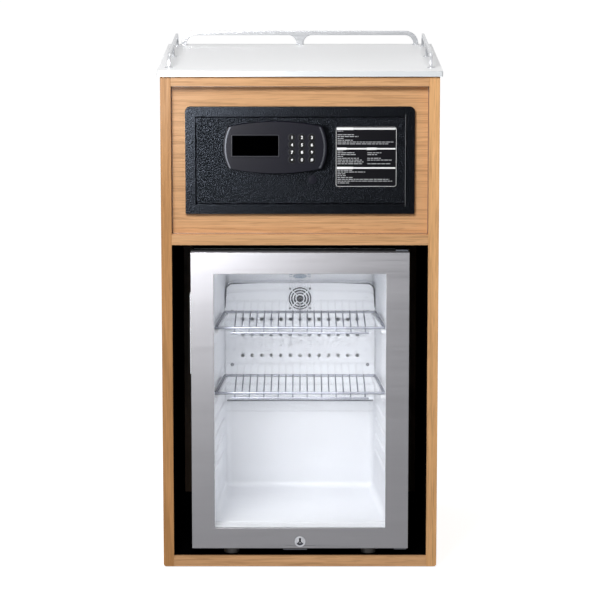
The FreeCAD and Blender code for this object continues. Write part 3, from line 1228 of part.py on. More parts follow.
def lock_housing():
    """The lock's rim and barrel."""
    rim = rod(LOCK_RIM_RADIUS, (0, FRONT_Y - LOCK_RIM_PROUD, LOCK_Z), (0, FRONT_Y, LOCK_Z))
    barrel = rod(LOCK_BARREL_RADIUS, (0, FRONT_Y - LOCK_RIM_PROUD, LOCK_Z), (0, CAM_FRONT, LOCK_Z))
    bore = rod(LOCK_PLUG_RADIUS + LOCK_PLUG_CLEARANCE, (0, FRONT_Y - LOCK_RIM_PROUD - 1, LOCK_Z),
               (0, CAM_FRONT + 1, LOCK_Z))
    return fuse([rim, barrel]).cut(bore)


def lock_plug():
    """The turning plug with its keyway, and the cam behind it pointing left."""
    plug = rod(LOCK_PLUG_RADIUS, (0, FRONT_Y - LOCK_RIM_PROUD, LOCK_Z), (0, CAM_BACK, LOCK_Z))
    keyway = box(-LOCK_KEYWAY_WIDTH / 2, LOCK_KEYWAY_WIDTH / 2, FRONT_Y - LOCK_RIM_PROUD - 1,
                 FRONT_Y - LOCK_RIM_PROUD + LOCK_KEYWAY_DEPTH,
                 LOCK_Z - LOCK_KEYWAY_HEIGHT / 2, LOCK_Z + LOCK_KEYWAY_HEIGHT / 2)
    cam = box(-CAM_LENGTH, 0, CAM_FRONT + LOCK_PLUG_CLEARANCE, CAM_BACK,
              LOCK_Z - CAM_WIDTH / 2, LOCK_Z + CAM_WIDTH / 2)
    return fuse([plug.cut(keyway), cam])


# ---------------------------------------------------------------- all sub-parts
def all_parts():
    """Every sub-part by its node name."""
    parts = {
        "side_panel_left": side_panel(-1),
        "side_panel_right": side_panel(1),
        "top_panel": cross_board(FASCIA_TOP, TOP_THICKNESS),
        "middle_shelf": cross_board(BAY_CEILING, SHELF_THICKNESS),
        "bottom_panel": cross_board(CARCASS_Z, BOTTOM_THICKNESS),
        "safe_fascia": safe_fascia(),
        "back_panel": back_panel(),
        "bay_lining": bay_lining(),
        "floor_glides": floor_glides(),
        "worktop": worktop(),
        "worktop_bedding": worktop_bedding(),
        "gallery_rail_back": gallery_rail_back(),
        "gallery_rails_side": gallery_rails_side(),
        "safe_body": safe_body(),
        "safe_battens": safe_battens(),
        "safe_anchor_bolts": safe_anchor_bolts(),
        "safe_door_plate": safe_door_plate(),
        "lock_cover": lock_cover(),
        "locking_bolts": locking_bolts(),
        "keypad_housing": keypad_housing(),
        "keypad_trims": keypad_trims(),
        "display_window": display_window(),
        "instruction_plate": instruction_plate(),
        "override_lock_cap": override_lock_cap(),
        "fridge_wrap": fridge_wrap(),
        "fridge_insulation": fridge_insulation(),
        "fridge_liner": fridge_liner(),
        "fridge_base": fridge_base(),
        "fridge_feet": fridge_feet(),
        "air_panel": air_panel(),
        "fan_grille": fan_grille(),
        "fan_rotor": fan_rotor(),
        "lamp_housing": lamp_housing(),
        "evaporator": evaporator(),
        "shelf_upper": shelf_rack(SHELF_UPPER_RISE),
        "shelf_lower": shelf_rack(SHELF_LOWER_RISE),
        "compressor": compressor(),
        "condenser": condenser(),
        "power_inlet": power_inlet(),
        "door_frame": door_frame(),
        "door_inner_frame": door_inner_frame(),
        "door_glass": door_glass(),
        "door_gasket": door_gasket(),
        "door_pull": door_pull(),
        "door_hinges": door_hinges(),
        "lock_striker": lock_striker(),
        "lock_housing": lock_housing(),
        "lock_plug": lock_plug(),
    }
    for index, name in enumerate(KEY_NAMES):
        parts["key_" + name] = key(index)
    return parts


def main():
    """Writes every sub-part as a STEP file."""
    os.makedirs("parts", exist_ok=True)
    for node, shape in all_parts().items():
        shape.exportStep(f"parts/{node}.step")
        print(node, "valid" if shape.isValid() else "NOT VALID", len(shape.Solids), round(shape.Volume))


main()
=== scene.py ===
"""Hotel minibar cabinet: its finishes, its fine parts, the floor, the light and the camera."""
import logging
import math
import random
from collections.abc import Callable, Iterable, Sequence
from dataclasses import dataclass, field
from enum import Enum
from typing import Any

import bmesh
import bpy
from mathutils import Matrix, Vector


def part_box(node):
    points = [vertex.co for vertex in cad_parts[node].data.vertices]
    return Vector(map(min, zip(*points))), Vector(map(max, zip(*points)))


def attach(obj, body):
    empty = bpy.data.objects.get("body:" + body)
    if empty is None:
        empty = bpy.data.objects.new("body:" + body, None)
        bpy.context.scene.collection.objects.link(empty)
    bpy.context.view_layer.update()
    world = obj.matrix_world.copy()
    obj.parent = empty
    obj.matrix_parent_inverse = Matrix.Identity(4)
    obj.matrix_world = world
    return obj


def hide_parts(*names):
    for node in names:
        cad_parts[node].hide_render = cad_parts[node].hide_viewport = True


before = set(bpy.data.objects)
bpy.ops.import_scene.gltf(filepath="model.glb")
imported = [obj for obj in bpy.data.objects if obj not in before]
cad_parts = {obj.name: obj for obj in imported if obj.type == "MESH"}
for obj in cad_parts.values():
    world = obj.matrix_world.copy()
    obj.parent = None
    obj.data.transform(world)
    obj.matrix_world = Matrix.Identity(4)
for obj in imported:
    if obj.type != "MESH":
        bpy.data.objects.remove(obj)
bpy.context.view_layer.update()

LOG = logging.getLogger("minibar")
MM = 0.001
Colour = tuple[float, float, float]
Point = tuple[float, float, float]
Flat = tuple[float, float]
Loop = list[Flat]
Column = tuple[float, float, tuple[float, ...]]
Section = tuple[float, tuple[Column, ...]]


class Axis(Enum):
    """A direction of the row frame."""

    X = 0
    Y = 1
    Z = 2


# ------------------------------------------------------------------ node trees
class Graph:
    """A short hand for filling one node tree."""

    def __init__(self, tree: bpy.types.NodeTree) -> None:
        """Keeps the tree that nodes are added to."""
        self.tree = tree

    def add(self, kind: str, inputs: dict[Any, Any] | None = None, **settings: Any) -> bpy.types.Node:
        """Adds a node.

        Args:
            kind: the node's type name, without ShaderNode.
            inputs: socket name or number to a value or to another node's output.
            settings: properties of the node itself.

        Returns:
            The new node.
        """
        node = self.tree.nodes.new("ShaderNode" + kind)
        for key, value in settings.items():
            setattr(node, key, value)
        for key, value in (inputs or {}).items():
            if isinstance(value, bpy.types.NodeSocket):
                self.tree.links.new(value, node.inputs[key])
            else:
                node.inputs[key].default_value = value
        return node

    def math(self, operation: str, a: Any, b: Any = 0.0, c: Any = 0.0) -> bpy.types.NodeSocket:
        """Adds a Math node and returns its output."""
        return self.add("Math", {0: a, 1: b, 2: c}, operation=operation).outputs[0]

    def noise(self, vector: Any, scale: Any, detail: float = 2.0, roughness: float = 0.5,
              distortion: float = 0.0) -> bpy.types.NodeSocket:
        """Adds a Noise Texture and returns its value."""
        sockets = {"Vector": vector, "Scale": scale, "Detail": detail, "Roughness": roughness,
                   "Distortion": distortion}
        return self.add("TexNoise", sockets).outputs[0]

    def remap(self, value: Any, low: float, high: float, to_low: float = 0.0,
              to_high: float = 1.0) -> bpy.types.NodeSocket:
        """Maps a value from one range to another, held at both ends, and returns the output."""
        sockets = {"Value": value, "From Min": low, "From Max": high, "To Min": to_low, "To Max": to_high}
        return self.add("MapRange", sockets).outputs["Result"]

    def blend(self, factor: Any, first: Any, second: Any) -> bpy.types.NodeSocket:
        """Mixes two colours and returns the output."""
        node = self.add("Mix", data_type="RGBA")
        for name, kind, value in (("Factor", "VALUE", factor), ("A", "RGBA", first), ("B", "RGBA", second)):
            socket = next(s for s in node.inputs if s.name == name and s.type == kind)
            if isinstance(value, bpy.types.NodeSocket):
                self.tree.links.new(value, socket)
            else:
                socket.default_value = value if kind == "VALUE" else (*value, 1.0)
        return next(s for s in node.outputs if s.type == "RGBA")

    def bump(self, height: Any, distance: float, strength: float = 1.0) -> bpy.types.NodeSocket:
        """Adds a Bump node and returns its normal."""
        sockets = {"Height": height, "Distance": distance, "Strength": strength}
        return self.add("Bump", sockets).outputs["Normal"]


def place_vector(graph: Graph, scale: Point = (1.0, 1.0, 1.0),
                 shift: Point = (0.0, 0.0, 0.0)) -> bpy.types.NodeSocket:
    """Object coordinates, stretched and shifted."""
    coords = graph.add("TexCoord").outputs["Object"]
    return graph.add("Mapping", {"Vector": coords, "Scale": scale, "Location": shift}).outputs["Vector"]


def drawn_out(axis: Axis, share: float) -> Point:
    """A scale that draws a pattern out along one axis."""
    return tuple(share if a is axis else 1.0 for a in Axis)


def scaled(colour: Colour, share: float) -> Colour:
    """A colour made lighter or darker by a share."""
    return tuple(c * share for c in colour)


class Effect:
    """A shader node group that several finishes share."""

    _built: dict[str, bpy.types.NodeTree] = {}

    def __init__(self, name: str, inputs: Sequence[tuple[str, str, Any]], outputs: Sequence[str],
                 fill: Callable[[Graph, bpy.types.Node], dict[str, Any]]) -> None:
        """Builds the group.

        Args:
            name: the group's name.
            inputs: (name, socket type, default) of each input.
            outputs: names of the float outputs.
            fill: adds the nodes and returns each output's socket.
        """
        tree = bpy.data.node_groups.new(name, "ShaderNodeTree")
        for label, kind, default in inputs:
            socket = tree.interface.new_socket(label, in_out="INPUT", socket_type="NodeSocket" + kind)
            if default is not None:
                socket.default_value = default
        for label in outputs:
            tree.interface.new_socket(label, in_out="OUTPUT", socket_type="NodeSocketFloat")
        graph = Graph(tree)
        results = fill(graph, tree.nodes.new("NodeGroupInput"))
        end = tree.nodes.new("NodeGroupOutput")
        for label, value in results.items():
            tree.links.new(value, end.inputs[label])
        self.tree = tree

    def use(self, graph: Graph, **inputs: Any) -> bpy.types.Node:
        """Places the group in a material with its own values."""
        node = graph.add("Group", node_tree=self.tree)
        for key, value in inputs.items():
            if isinstance(value, bpy.types.NodeSocket):
                graph.tree.links.new(value, node.inputs[key])
            else:
                node.inputs[key].default_value = value
        return node


def fill_oak(graph: Graph, start: bpy.types.Node) -> dict[str, Any]:
    """Growth rings, fibres and open pores. The vector is already stretched along the grain."""
    vector = start.outputs["Vector"]
    waver = graph.noise(vector, 55.0)
    sway = graph.math("MULTIPLY", graph.math("SUBTRACT", waver, 0.5), start.outputs["Sway"])
    vector = graph.add("VectorMath", {0: vector, 1: sway}, operation="ADD").outputs[0]
    drift = graph.math("MULTIPLY_ADD", waver, 0.02, graph.noise(vector, 5.0, roughness=0.4))
    rings = graph.math("FRACT", graph.math("MULTIPLY", drift, start.outputs["Rings"]))
    rings = graph.math("MINIMUM", graph.math("MULTIPLY", rings, 1.35),
                       graph.math("MULTIPLY", graph.math("SUBTRACT", 1.0, rings), 4.0))
    fibre = graph.noise(vector, 440.0, 3.0, 0.7)
    fibres = graph.remap(fibre, 0.36, 0.64)
    early = graph.remap(rings, 0.0, 0.8, 0.09, 0.0)
    pores = graph.remap(graph.math("ADD", graph.noise(vector, 620.0), early), 0.56, 0.64)
    tone = graph.math("ADD", graph.math("MULTIPLY", graph.remap(rings, 0.0, 1.0), 0.42),
                      graph.math("MULTIPLY", fibres, 0.58))
    height = graph.math("SUBTRACT", graph.math("MULTIPLY", fibre, 0.6), pores)
    return {"Tone": tone, "Pores": pores, "Height": height}


def fill_brushed(graph: Graph, start: bpy.types.Node) -> dict[str, Any]:
    """Fine parallel scratches. The vector is already stretched along them."""
    vector = start.outputs["Vector"]
    fine, broad = graph.noise(vector, 900.0, 3.0, 0.7), graph.noise(vector, 120.0)
    streak = graph.math("ADD", graph.math("MULTIPLY", fine, 0.7), graph.math("MULTIPLY", broad, 0.3))
    return {"Streak": graph.remap(streak, 0.3, 0.7), "Height": fine}


def fill_pebble(graph: Graph, start: bpy.types.Node) -> dict[str, Any]:
    """Rounded grains side by side, as in a textured powder coat or moulded plastic."""
    vector, scale = start.outputs["Vector"], start.outputs["Scale"]
    cells = graph.add("TexVoronoi", {"Vector": vector, "Scale": scale, "Smoothness": 0.6},
                      feature="SMOOTH_F1").outputs["Distance"]
    height = graph.math("SUBTRACT", graph.remap(graph.noise(vector, scale), 0.3, 0.7), cells)
    return {"Height": height, "Mask": graph.remap(height, -0.1, 0.6)}


def fill_smudge(graph: Graph, start: bpy.types.Node) -> dict[str, Any]:
    """Broad, soft patches, as dust and wiping leave them."""
    noise = graph.noise(start.outputs["Vector"], start.outputs["Scale"], 4.0, distortion=0.4)
    return {"Patch": graph.remap(noise, 0.35, 0.65)}


def fill_edge(graph: Graph, start: bpy.types.Node) -> dict[str, Any]:
    """A mask of the sharp edges, found where rounded and true normals part."""
    rounded = graph.add("Bevel", {"Radius": start.outputs["Radius"]}, samples=4).outputs["Normal"]
    true = graph.add("NewGeometry").outputs["Normal"]
    dot = graph.add("VectorMath", {0: rounded, 1: true}, operation="DOT_PRODUCT").outputs["Value"]
    return {"Mask": graph.remap(graph.math("SUBTRACT", 1.0, dot), 0.02, 0.2)}


VECTOR_INPUT = ("Vector", "Vector", None)
OAK_FIGURE = Effect("oak_figure", [VECTOR_INPUT, ("Rings", "Float", 40.0), ("Sway", "Float", 0.01)],
                    ["Tone", "Pores", "Height"], fill_oak)
BRUSHED = Effect("brushed_lines", [VECTOR_INPUT], ["Streak", "Height"], fill_brushed)
PEBBLE = Effect("pebbled_grain", [VECTOR_INPUT, ("Scale", "Float", 400.0)], ["Height", "Mask"], fill_pebble)
SMUDGE = Effect("soft_smudges", [VECTOR_INPUT, ("Scale", "Float", 6.0)], ["Patch"], fill_smudge)
EDGE = Effect("edge_mask", [("Radius", "Float", 0.0015)], ["Mask"], fill_edge)


# ------------------------------------------------------------------ finishes
MADE: dict[str, bpy.types.Material] = {}


@dataclass(frozen=True)
class Finish:
    """What every finish has: a name and a way to become a material."""

    name: str

    def material(self) -> bpy.types.Material:
        """The finish's material, made on first use."""
        if self.name in MADE:
            return MADE[self.name]
        material = MADE[self.name] = bpy.data.materials.new(self.name + "_finish")
        material.use_nodes = True
        material.node_tree.nodes.clear()
        graph = Graph(material.node_tree)
        shader = self.shade(graph)
        graph.add("OutputMaterial", {"Surface": shader.outputs[0]})
        return material

    def shade(self, graph: Graph) -> bpy.types.Node:
        """Adds the finish's nodes and returns its shader."""
        raise NotImplementedError


@dataclass(frozen=True)
class Oak(Finish):
    """Oak veneer under a clear satin lacquer."""

    grain: Axis = Axis.X
    light: Colour = (0.75, 0.44, 0.228)
    dark: Colour = (0.56, 0.31, 0.148)
    shift: float = 0.0
    rings: float = 40.0
    sway: float = 0.012
    draw: float = 0.028

    def shade(self, graph: Graph) -> bpy.types.Node:
        """Rings and fibres set the colour, pores darken it and dent the lacquer a little."""
        shift = (self.shift, self.shift * 1.7, self.shift * 0.6)
        vector = place_vector(graph, drawn_out(self.grain, self.draw), shift)
        figure = OAK_FIGURE.use(graph, Vector=vector, Rings=self.rings, Sway=self.sway)
        patch = SMUDGE.use(graph, Vector=vector, Scale=5.0).outputs["Patch"]
        edge = EDGE.use(graph, Radius=1.2 * MM).outputs["Mask"]
        tone = graph.math("ADD", graph.math("MULTIPLY", figure.outputs["Tone"], 0.8),
                          graph.math("MULTIPLY", patch, 0.2))
        base = graph.blend(tone, self.dark, self.light)
        base = graph.blend(graph.math("MULTIPLY", figure.outputs["Pores"], 0.36), base, (0.34, 0.18, 0.08))
        base = graph.blend(graph.math("MULTIPLY", edge, 0.35), base, (0.42, 0.24, 0.12))
        normal = graph.bump(figure.outputs["Height"], 0.12 * MM, 0.6)
        rough = graph.remap(figure.outputs["Tone"], 0.0, 1.0, 0.50, 0.40)
        return graph.add("BsdfPrincipled", {"Base Color": base, "Roughness": rough, "Normal": normal,
                                            "Specular IOR Level": 0.012})


@dataclass(frozen=True)
class Plain(Finish):
    """A smooth or lightly grained moulding, sheet or coat of one colour."""

    colour: Colour = (0.5, 0.5, 0.5)
    roughness: float = 0.5
    metallic: float = 0.0
    grain: float = 500.0
    grain_depth: float = 0.02
    variation: float = 0.12
    specular: float = 0.5
    coat: float = 0.0

    def shade(self, graph: Graph) -> bpy.types.Node:
        """Grain in the normal, soft patches in colour and roughness."""
        vector = place_vector(graph)
        pebble = PEBBLE.use(graph, Vector=vector, Scale=self.grain)
        patch = SMUDGE.use(graph, Vector=vector, Scale=14.0).outputs["Patch"]
        base = graph.blend(patch, scaled(self.colour, 1.0 - self.variation), self.colour)
        rough = graph.remap(patch, 0.0, 1.0, self.roughness * 1.12, self.roughness * 0.92)
        normal = graph.bump(pebble.outputs["Height"], self.grain_depth * MM)
        sockets = {"Base Color": base, "Roughness": rough, "Normal": normal, "Metallic": self.metallic,
                   "Specular IOR Level": self.specular, "Coat Weight": self.coat, "Coat Roughness": 0.08}
        return graph.add("BsdfPrincipled", sockets)


@dataclass(frozen=True)
class PebbledCoat(Finish):
    """Textured powder coat with grains that catch the light, and paler worn edges."""

    colour: Colour = (0.0010, 0.0011, 0.0016)
    tint: Colour = (0.72, 0.82, 1.0)
    grain: float = 520.0
    depth: float = 0.7
    roughness: float = 0.26
    specular: float = 0.035

    def shade(self, graph: Graph) -> bpy.types.Node:
        """Grains raise the normal and lighten the tops."""
        vector = place_vector(graph)
        pebble = PEBBLE.use(graph, Vector=vector, Scale=self.grain)
        edge = EDGE.use(graph, Radius=0.8 * MM).outputs["Mask"]
        base = graph.blend(pebble.outputs["Mask"], self.colour, scaled(self.colour, 1.9))
        base = graph.blend(graph.math("MULTIPLY", edge, 0.2), base, (0.03, 0.032, 0.04))
        rough = graph.remap(pebble.outputs["Mask"], 0.0, 1.0, self.roughness * 1.25, self.roughness * 0.8)
        normal = graph.bump(pebble.outputs["Height"], self.depth * MM)
        return graph.add("BsdfPrincipled", {"Base Color": base, "Roughness": rough, "Normal": normal,
                                            "Specular IOR Level": self.specular,
                                            "Specular Tint": (*self.tint, 1.0)})


@dataclass(frozen=True)
class BrushedMetal(Finish):
    """Metal with fine parallel lines along one axis."""

    colour: Colour = (0.56, 0.56, 0.57)
    along: Axis = Axis.X
    roughness: float = 0.34
    depth: float = 0.02
    contrast: float = 0.12
    draw: float = 0.012

    def shade(self, graph: Graph) -> bpy.types.Node:
        """Lines vary roughness, colour and normal."""
        lines = BRUSHED.use(graph, Vector=place_vector(graph, drawn_out(self.along, self.draw)))
        patch = SMUDGE.use(graph, Vector=place_vector(graph), Scale=7.0).outputs["Patch"]
        base = graph.blend(lines.outputs["Streak"], scaled(self.colour, 1.0 - self.contrast), self.colour)
        rough = graph.remap(lines.outputs["Streak"], 0.0, 1.0, self.roughness * 0.85, self.roughness * 1.15)
        rough = graph.math("ADD", rough, graph.math("MULTIPLY", patch, 0.03))
        normal = graph.bump(lines.outputs["Height"], self.depth * MM)
        return graph.add("BsdfPrincipled", {"Base Color": base, "Roughness": rough, "Normal": normal,
                                            "Metallic": 1.0})


@dataclass(frozen=True)
class BackPaintedGlass(Finish):
    """Glass slab painted white underneath, with a faint green cut edge."""

    face: Colour = (0.87, 0.875, 0.885)
    edge: Colour = (0.68, 0.71, 0.73)

    def shade(self, graph: Graph) -> bpy.types.Node:
        """The upright faces take the edge colour, and wiping marks vary the gloss."""
        upright = graph.add("SeparateXYZ", {0: graph.add("NewGeometry").outputs["Normal"]}).outputs["Z"]
        flat = graph.remap(graph.math("ABSOLUTE", upright), 0.3, 0.8)
        vector = place_vector(graph)
        patch = SMUDGE.use(graph, Vector=vector, Scale=5.0).outputs["Patch"]
        base = graph.blend(flat, self.edge, self.face)
        rough = graph.remap(patch, 0.0, 1.0, 0.42, 0.34)
        return graph.add("BsdfPrincipled", {"Base Color": base, "Roughness": rough,
                                            "Specular IOR Level": 0.35})


@dataclass(frozen=True)
class ClearGlass(Finish):
    """Thin clear pane: mostly seen through, with wiping marks in its gloss."""

    colour: Colour = (0.97, 0.98, 0.98)
    cover: float = 0.06

    def shade(self, graph: Graph) -> bpy.types.Node:
        """Low cover lets the light in, and the rest is clean glass."""
        vector = place_vector(graph)
        patch = SMUDGE.use(graph, Vector=vector, Scale=4.0).outputs["Patch"]
        rough = graph.remap(patch, 0.0, 1.0, 0.05, 0.015)
        base = graph.blend(patch, scaled(self.colour, 0.97), self.colour)
        return graph.add("BsdfPrincipled", {"Base Color": base, "Roughness": rough, "IOR": 1.5,
                                            "Alpha": self.cover, "Transmission Weight": 1.0})


class Finishes:
    """Every finish of the cabinet."""

    # The two side panels are one veneer: the left one's darker colour is painted shade and the right one's
    # lighter colour is painted light.
    oak_left_painted_shade = Oak("oak_side_left_painted_shade", grain=Axis.Z, shift=0.3, light=(0.60, 0.315, 0.13),
                   dark=(0.42, 0.205, 0.079))
    oak_right_painted_light = Oak("oak_side_right_painted_light", grain=Axis.Z, shift=2.1, light=(0.86, 0.50, 0.235),
                    dark=(0.63, 0.34, 0.146))
    oak_fascia = Oak("oak_fascia", shift=4.7)
    oak_top = Oak("oak_top_board", shift=6.2)
    oak_shelf = Oak("oak_shelf", shift=8.9)
    oak_bottom = Oak("oak_bottom_board", shift=11.3)
    hardboard = Plain("brown_hardboard", colour=(0.105, 0.06, 0.032), roughness=0.7, grain=900.0,
                      grain_depth=0.1, variation=0.25)
    softwood = Oak("softwood_batten", grain=Axis.Y, light=(0.72, 0.55, 0.36), dark=(0.55, 0.38, 0.21))
    laminate = Plain("black_laminate", colour=(0.0008, 0.0008, 0.0010), roughness=0.7, grain=700.0,
                     grain_depth=0.03, specular=0.0)
    bedding = Plain("dark_bedding", colour=(0.03, 0.022, 0.018), roughness=0.7)
    glide = Plain("glide_plastic", colour=(0.02, 0.02, 0.02), roughness=0.5)
    slab = BackPaintedGlass("white_glass_slab")
    rail = BrushedMetal("rail_metal", colour=(0.56, 0.57, 0.59), roughness=0.26, contrast=0.05,
                        depth=0.002)
    rail_side = BrushedMetal("rail_metal_side", colour=(0.56, 0.57, 0.59), along=Axis.Y, roughness=0.26,
                             contrast=0.05, depth=0.002)
    safe_coat = PebbledCoat("safe_powder_coat")
    safe_front_coat = PebbledCoat("safe_frame_coat", grain=520.0, depth=0.35, roughness=0.32)
    # Painted highlight: pale steel grey for the safe door's hinge-side edge, where the light catches it.
    edge_highlight = Plain("painted_edge_highlight", colour=(0.20, 0.21, 0.225), roughness=0.4, grain_depth=0.0)
    # Painted shadow for the strips round the fascia's recess.
    fascia_shadow = Plain("painted_fascia_shadow", colour=(0.16, 0.075, 0.035), roughness=0.8)
    keypad = Plain("keypad_plastic", colour=(0.0115, 0.0115, 0.0185), roughness=0.45, grain=1500.0,
                   grain_depth=0.01, specular=0.025)
    keypad_lip = Plain("keypad_lip", colour=(0.024, 0.025, 0.033), roughness=0.5, grain=1500.0,
                       grain_depth=0.01, specular=0.04)
    trim = Plain("grey_trim", colour=(0.015, 0.0158, 0.018), roughness=0.5, metallic=1.0, grain_depth=0.0)
    pull = Plain("pull_metal", colour=(0.70, 0.71, 0.73), roughness=0.2, metallic=1.0, grain_depth=0.0)
    display = Plain("display_window", colour=(0.0001, 0.0001, 0.0002), roughness=0.3, grain_depth=0.0,
                    specular=0.0)
    key = Plain("key_rubber", colour=(0.001, 0.001, 0.0015), roughness=0.45, grain=1500.0, grain_depth=0.01,
                specular=0.05)
    sign = Plain("key_sign_white", colour=(0.90, 0.91, 0.93), roughness=0.5, grain_depth=0.0, variation=0.0)
    marking = Plain("white_marking", colour=(0.86, 0.87, 0.88), roughness=0.5, grain_depth=0.0)
    fine_marking = Plain("grey_marking", colour=(0.36, 0.37, 0.39), roughness=0.5, grain_depth=0.0)
    plate = Plain("dark_plate", colour=(0.003, 0.003, 0.005), roughness=0.5, grain_depth=0.0, specular=0.03)
    zinc = BrushedMetal("zinc_plated_steel", colour=(0.60, 0.61, 0.63), roughness=0.38)
    black_sheet = Plain("black_sheet", colour=(0.002, 0.002, 0.0025), roughness=0.5, grain=900.0,
                        grain_depth=0.05, specular=0.02)
    foam = Plain("foam", colour=(0.75, 0.66, 0.40), roughness=0.9, grain=600.0, grain_depth=0.4)
    liner = Plain("liner_white", colour=(0.77, 0.785, 0.82), roughness=0.38, grain=300.0,
                  grain_depth=0.005, variation=0.03)
    panel = Plain("panel_white", colour=(0.75, 0.77, 0.81), roughness=0.4, grain=700.0, variation=0.03)
    fan = Plain("fan_black", colour=(0.012, 0.012, 0.016), roughness=0.5, specular=0.1)
    screw = Plain("grey_screw", colour=(0.20, 0.205, 0.23), roughness=0.45)
    lamp = Plain("milky_lamp_cover", colour=(0.80, 0.82, 0.86), roughness=0.25, variation=0.02)
    lens = Plain("lamp_lens", colour=(0.34, 0.40, 0.50), roughness=0.25, variation=0.05)
    # Painted shadow for the gap lines round the air panel.
    seam = Plain("panel_painted_shadow", colour=(0.035, 0.037, 0.05), roughness=0.6)
    cold_plate = Plain("evaporator_metal", colour=(0.62, 0.63, 0.65), roughness=0.4, metallic=1.0)
    wire = Plain("shelf_wire", colour=(0.19, 0.20, 0.235), roughness=0.5, metallic=1.0, grain_depth=0.0)
    enamel = Plain("black_enamel", colour=(0.010, 0.010, 0.011), roughness=0.3, coat=0.3)
    steel = BrushedMetal("door_steel", colour=(0.172, 0.171, 0.181), roughness=0.42, contrast=0.08)
    dark_zinc = BrushedMetal("dull_zinc", colour=(0.07, 0.074, 0.085), roughness=0.4)
    door_plastic = Plain("door_inner_white", colour=(0.82, 0.832, 0.862), roughness=0.35, variation=0.03)
    glass = ClearGlass("door_glass")
    seal = Plain("gasket_rubber", colour=(0.60, 0.61, 0.63), roughness=0.6)
    lock = Plain("lock_chrome", colour=(0.37, 0.375, 0.40), roughness=0.3, metallic=1.0, grain_depth=0.0)
    # Painted shade: darker grey for the lower part of the lock plug's face.
    lock_shade = Plain("lock_painted_lower_shade", colour=(0.035, 0.035, 0.042), roughness=0.4, metallic=1.0,
                       grain_depth=0.0)
    copper = Plain("copper_tube", colour=(0.72, 0.36, 0.22), roughness=0.3, metallic=1.0)
    pin_brass = Plain("contact_brass", colour=(0.75, 0.60, 0.30), roughness=0.3, metallic=1.0)
    # Painted shade: near black for the lock's keyway opening.
    keyway_shade = Plain("painted_keyway_shade", colour=(0.002, 0.002, 0.003), roughness=0.8, specular=0.0)


# ------------------------------------------------------------------ meshes
def add_mesh(name: str, points: Sequence[Point], faces: Sequence[Sequence[int]], finish: Finish,
             body: str, smooth: bool = True) -> bpy.types.Object:
    """Makes a piece from points and faces.

    Args:
        name: the piece's name.
        points: corners in metres, in the row frame.
        faces: corner numbers of each face.
        finish: what it is coated with.
        body: the CAD body that it moves with.
        smooth: whether it is shaded smooth.

    Returns:
        The new object, already riding on its body.
    """
    mesh = bpy.data.meshes.new(name)
    mesh.from_pydata(points, [], faces)
    mesh.validate()
    tidy = bmesh.new()
    tidy.from_mesh(mesh)
    bmesh.ops.remove_doubles(tidy, verts=tidy.verts, dist=1e-7)
    bmesh.ops.recalc_face_normals(tidy, faces=tidy.faces)
    tidy.to_mesh(mesh)
    tidy.free()
    mesh.materials.append(finish.material())
    mesh.polygons.foreach_set("use_smooth", [smooth] * len(mesh.polygons))
    piece = bpy.data.objects.new(name, mesh)
    bpy.context.scene.collection.objects.link(piece)
    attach(piece, body)
    LOG.info("piece %s: %d faces, rides on %s", name, len(mesh.polygons), body)
    return piece


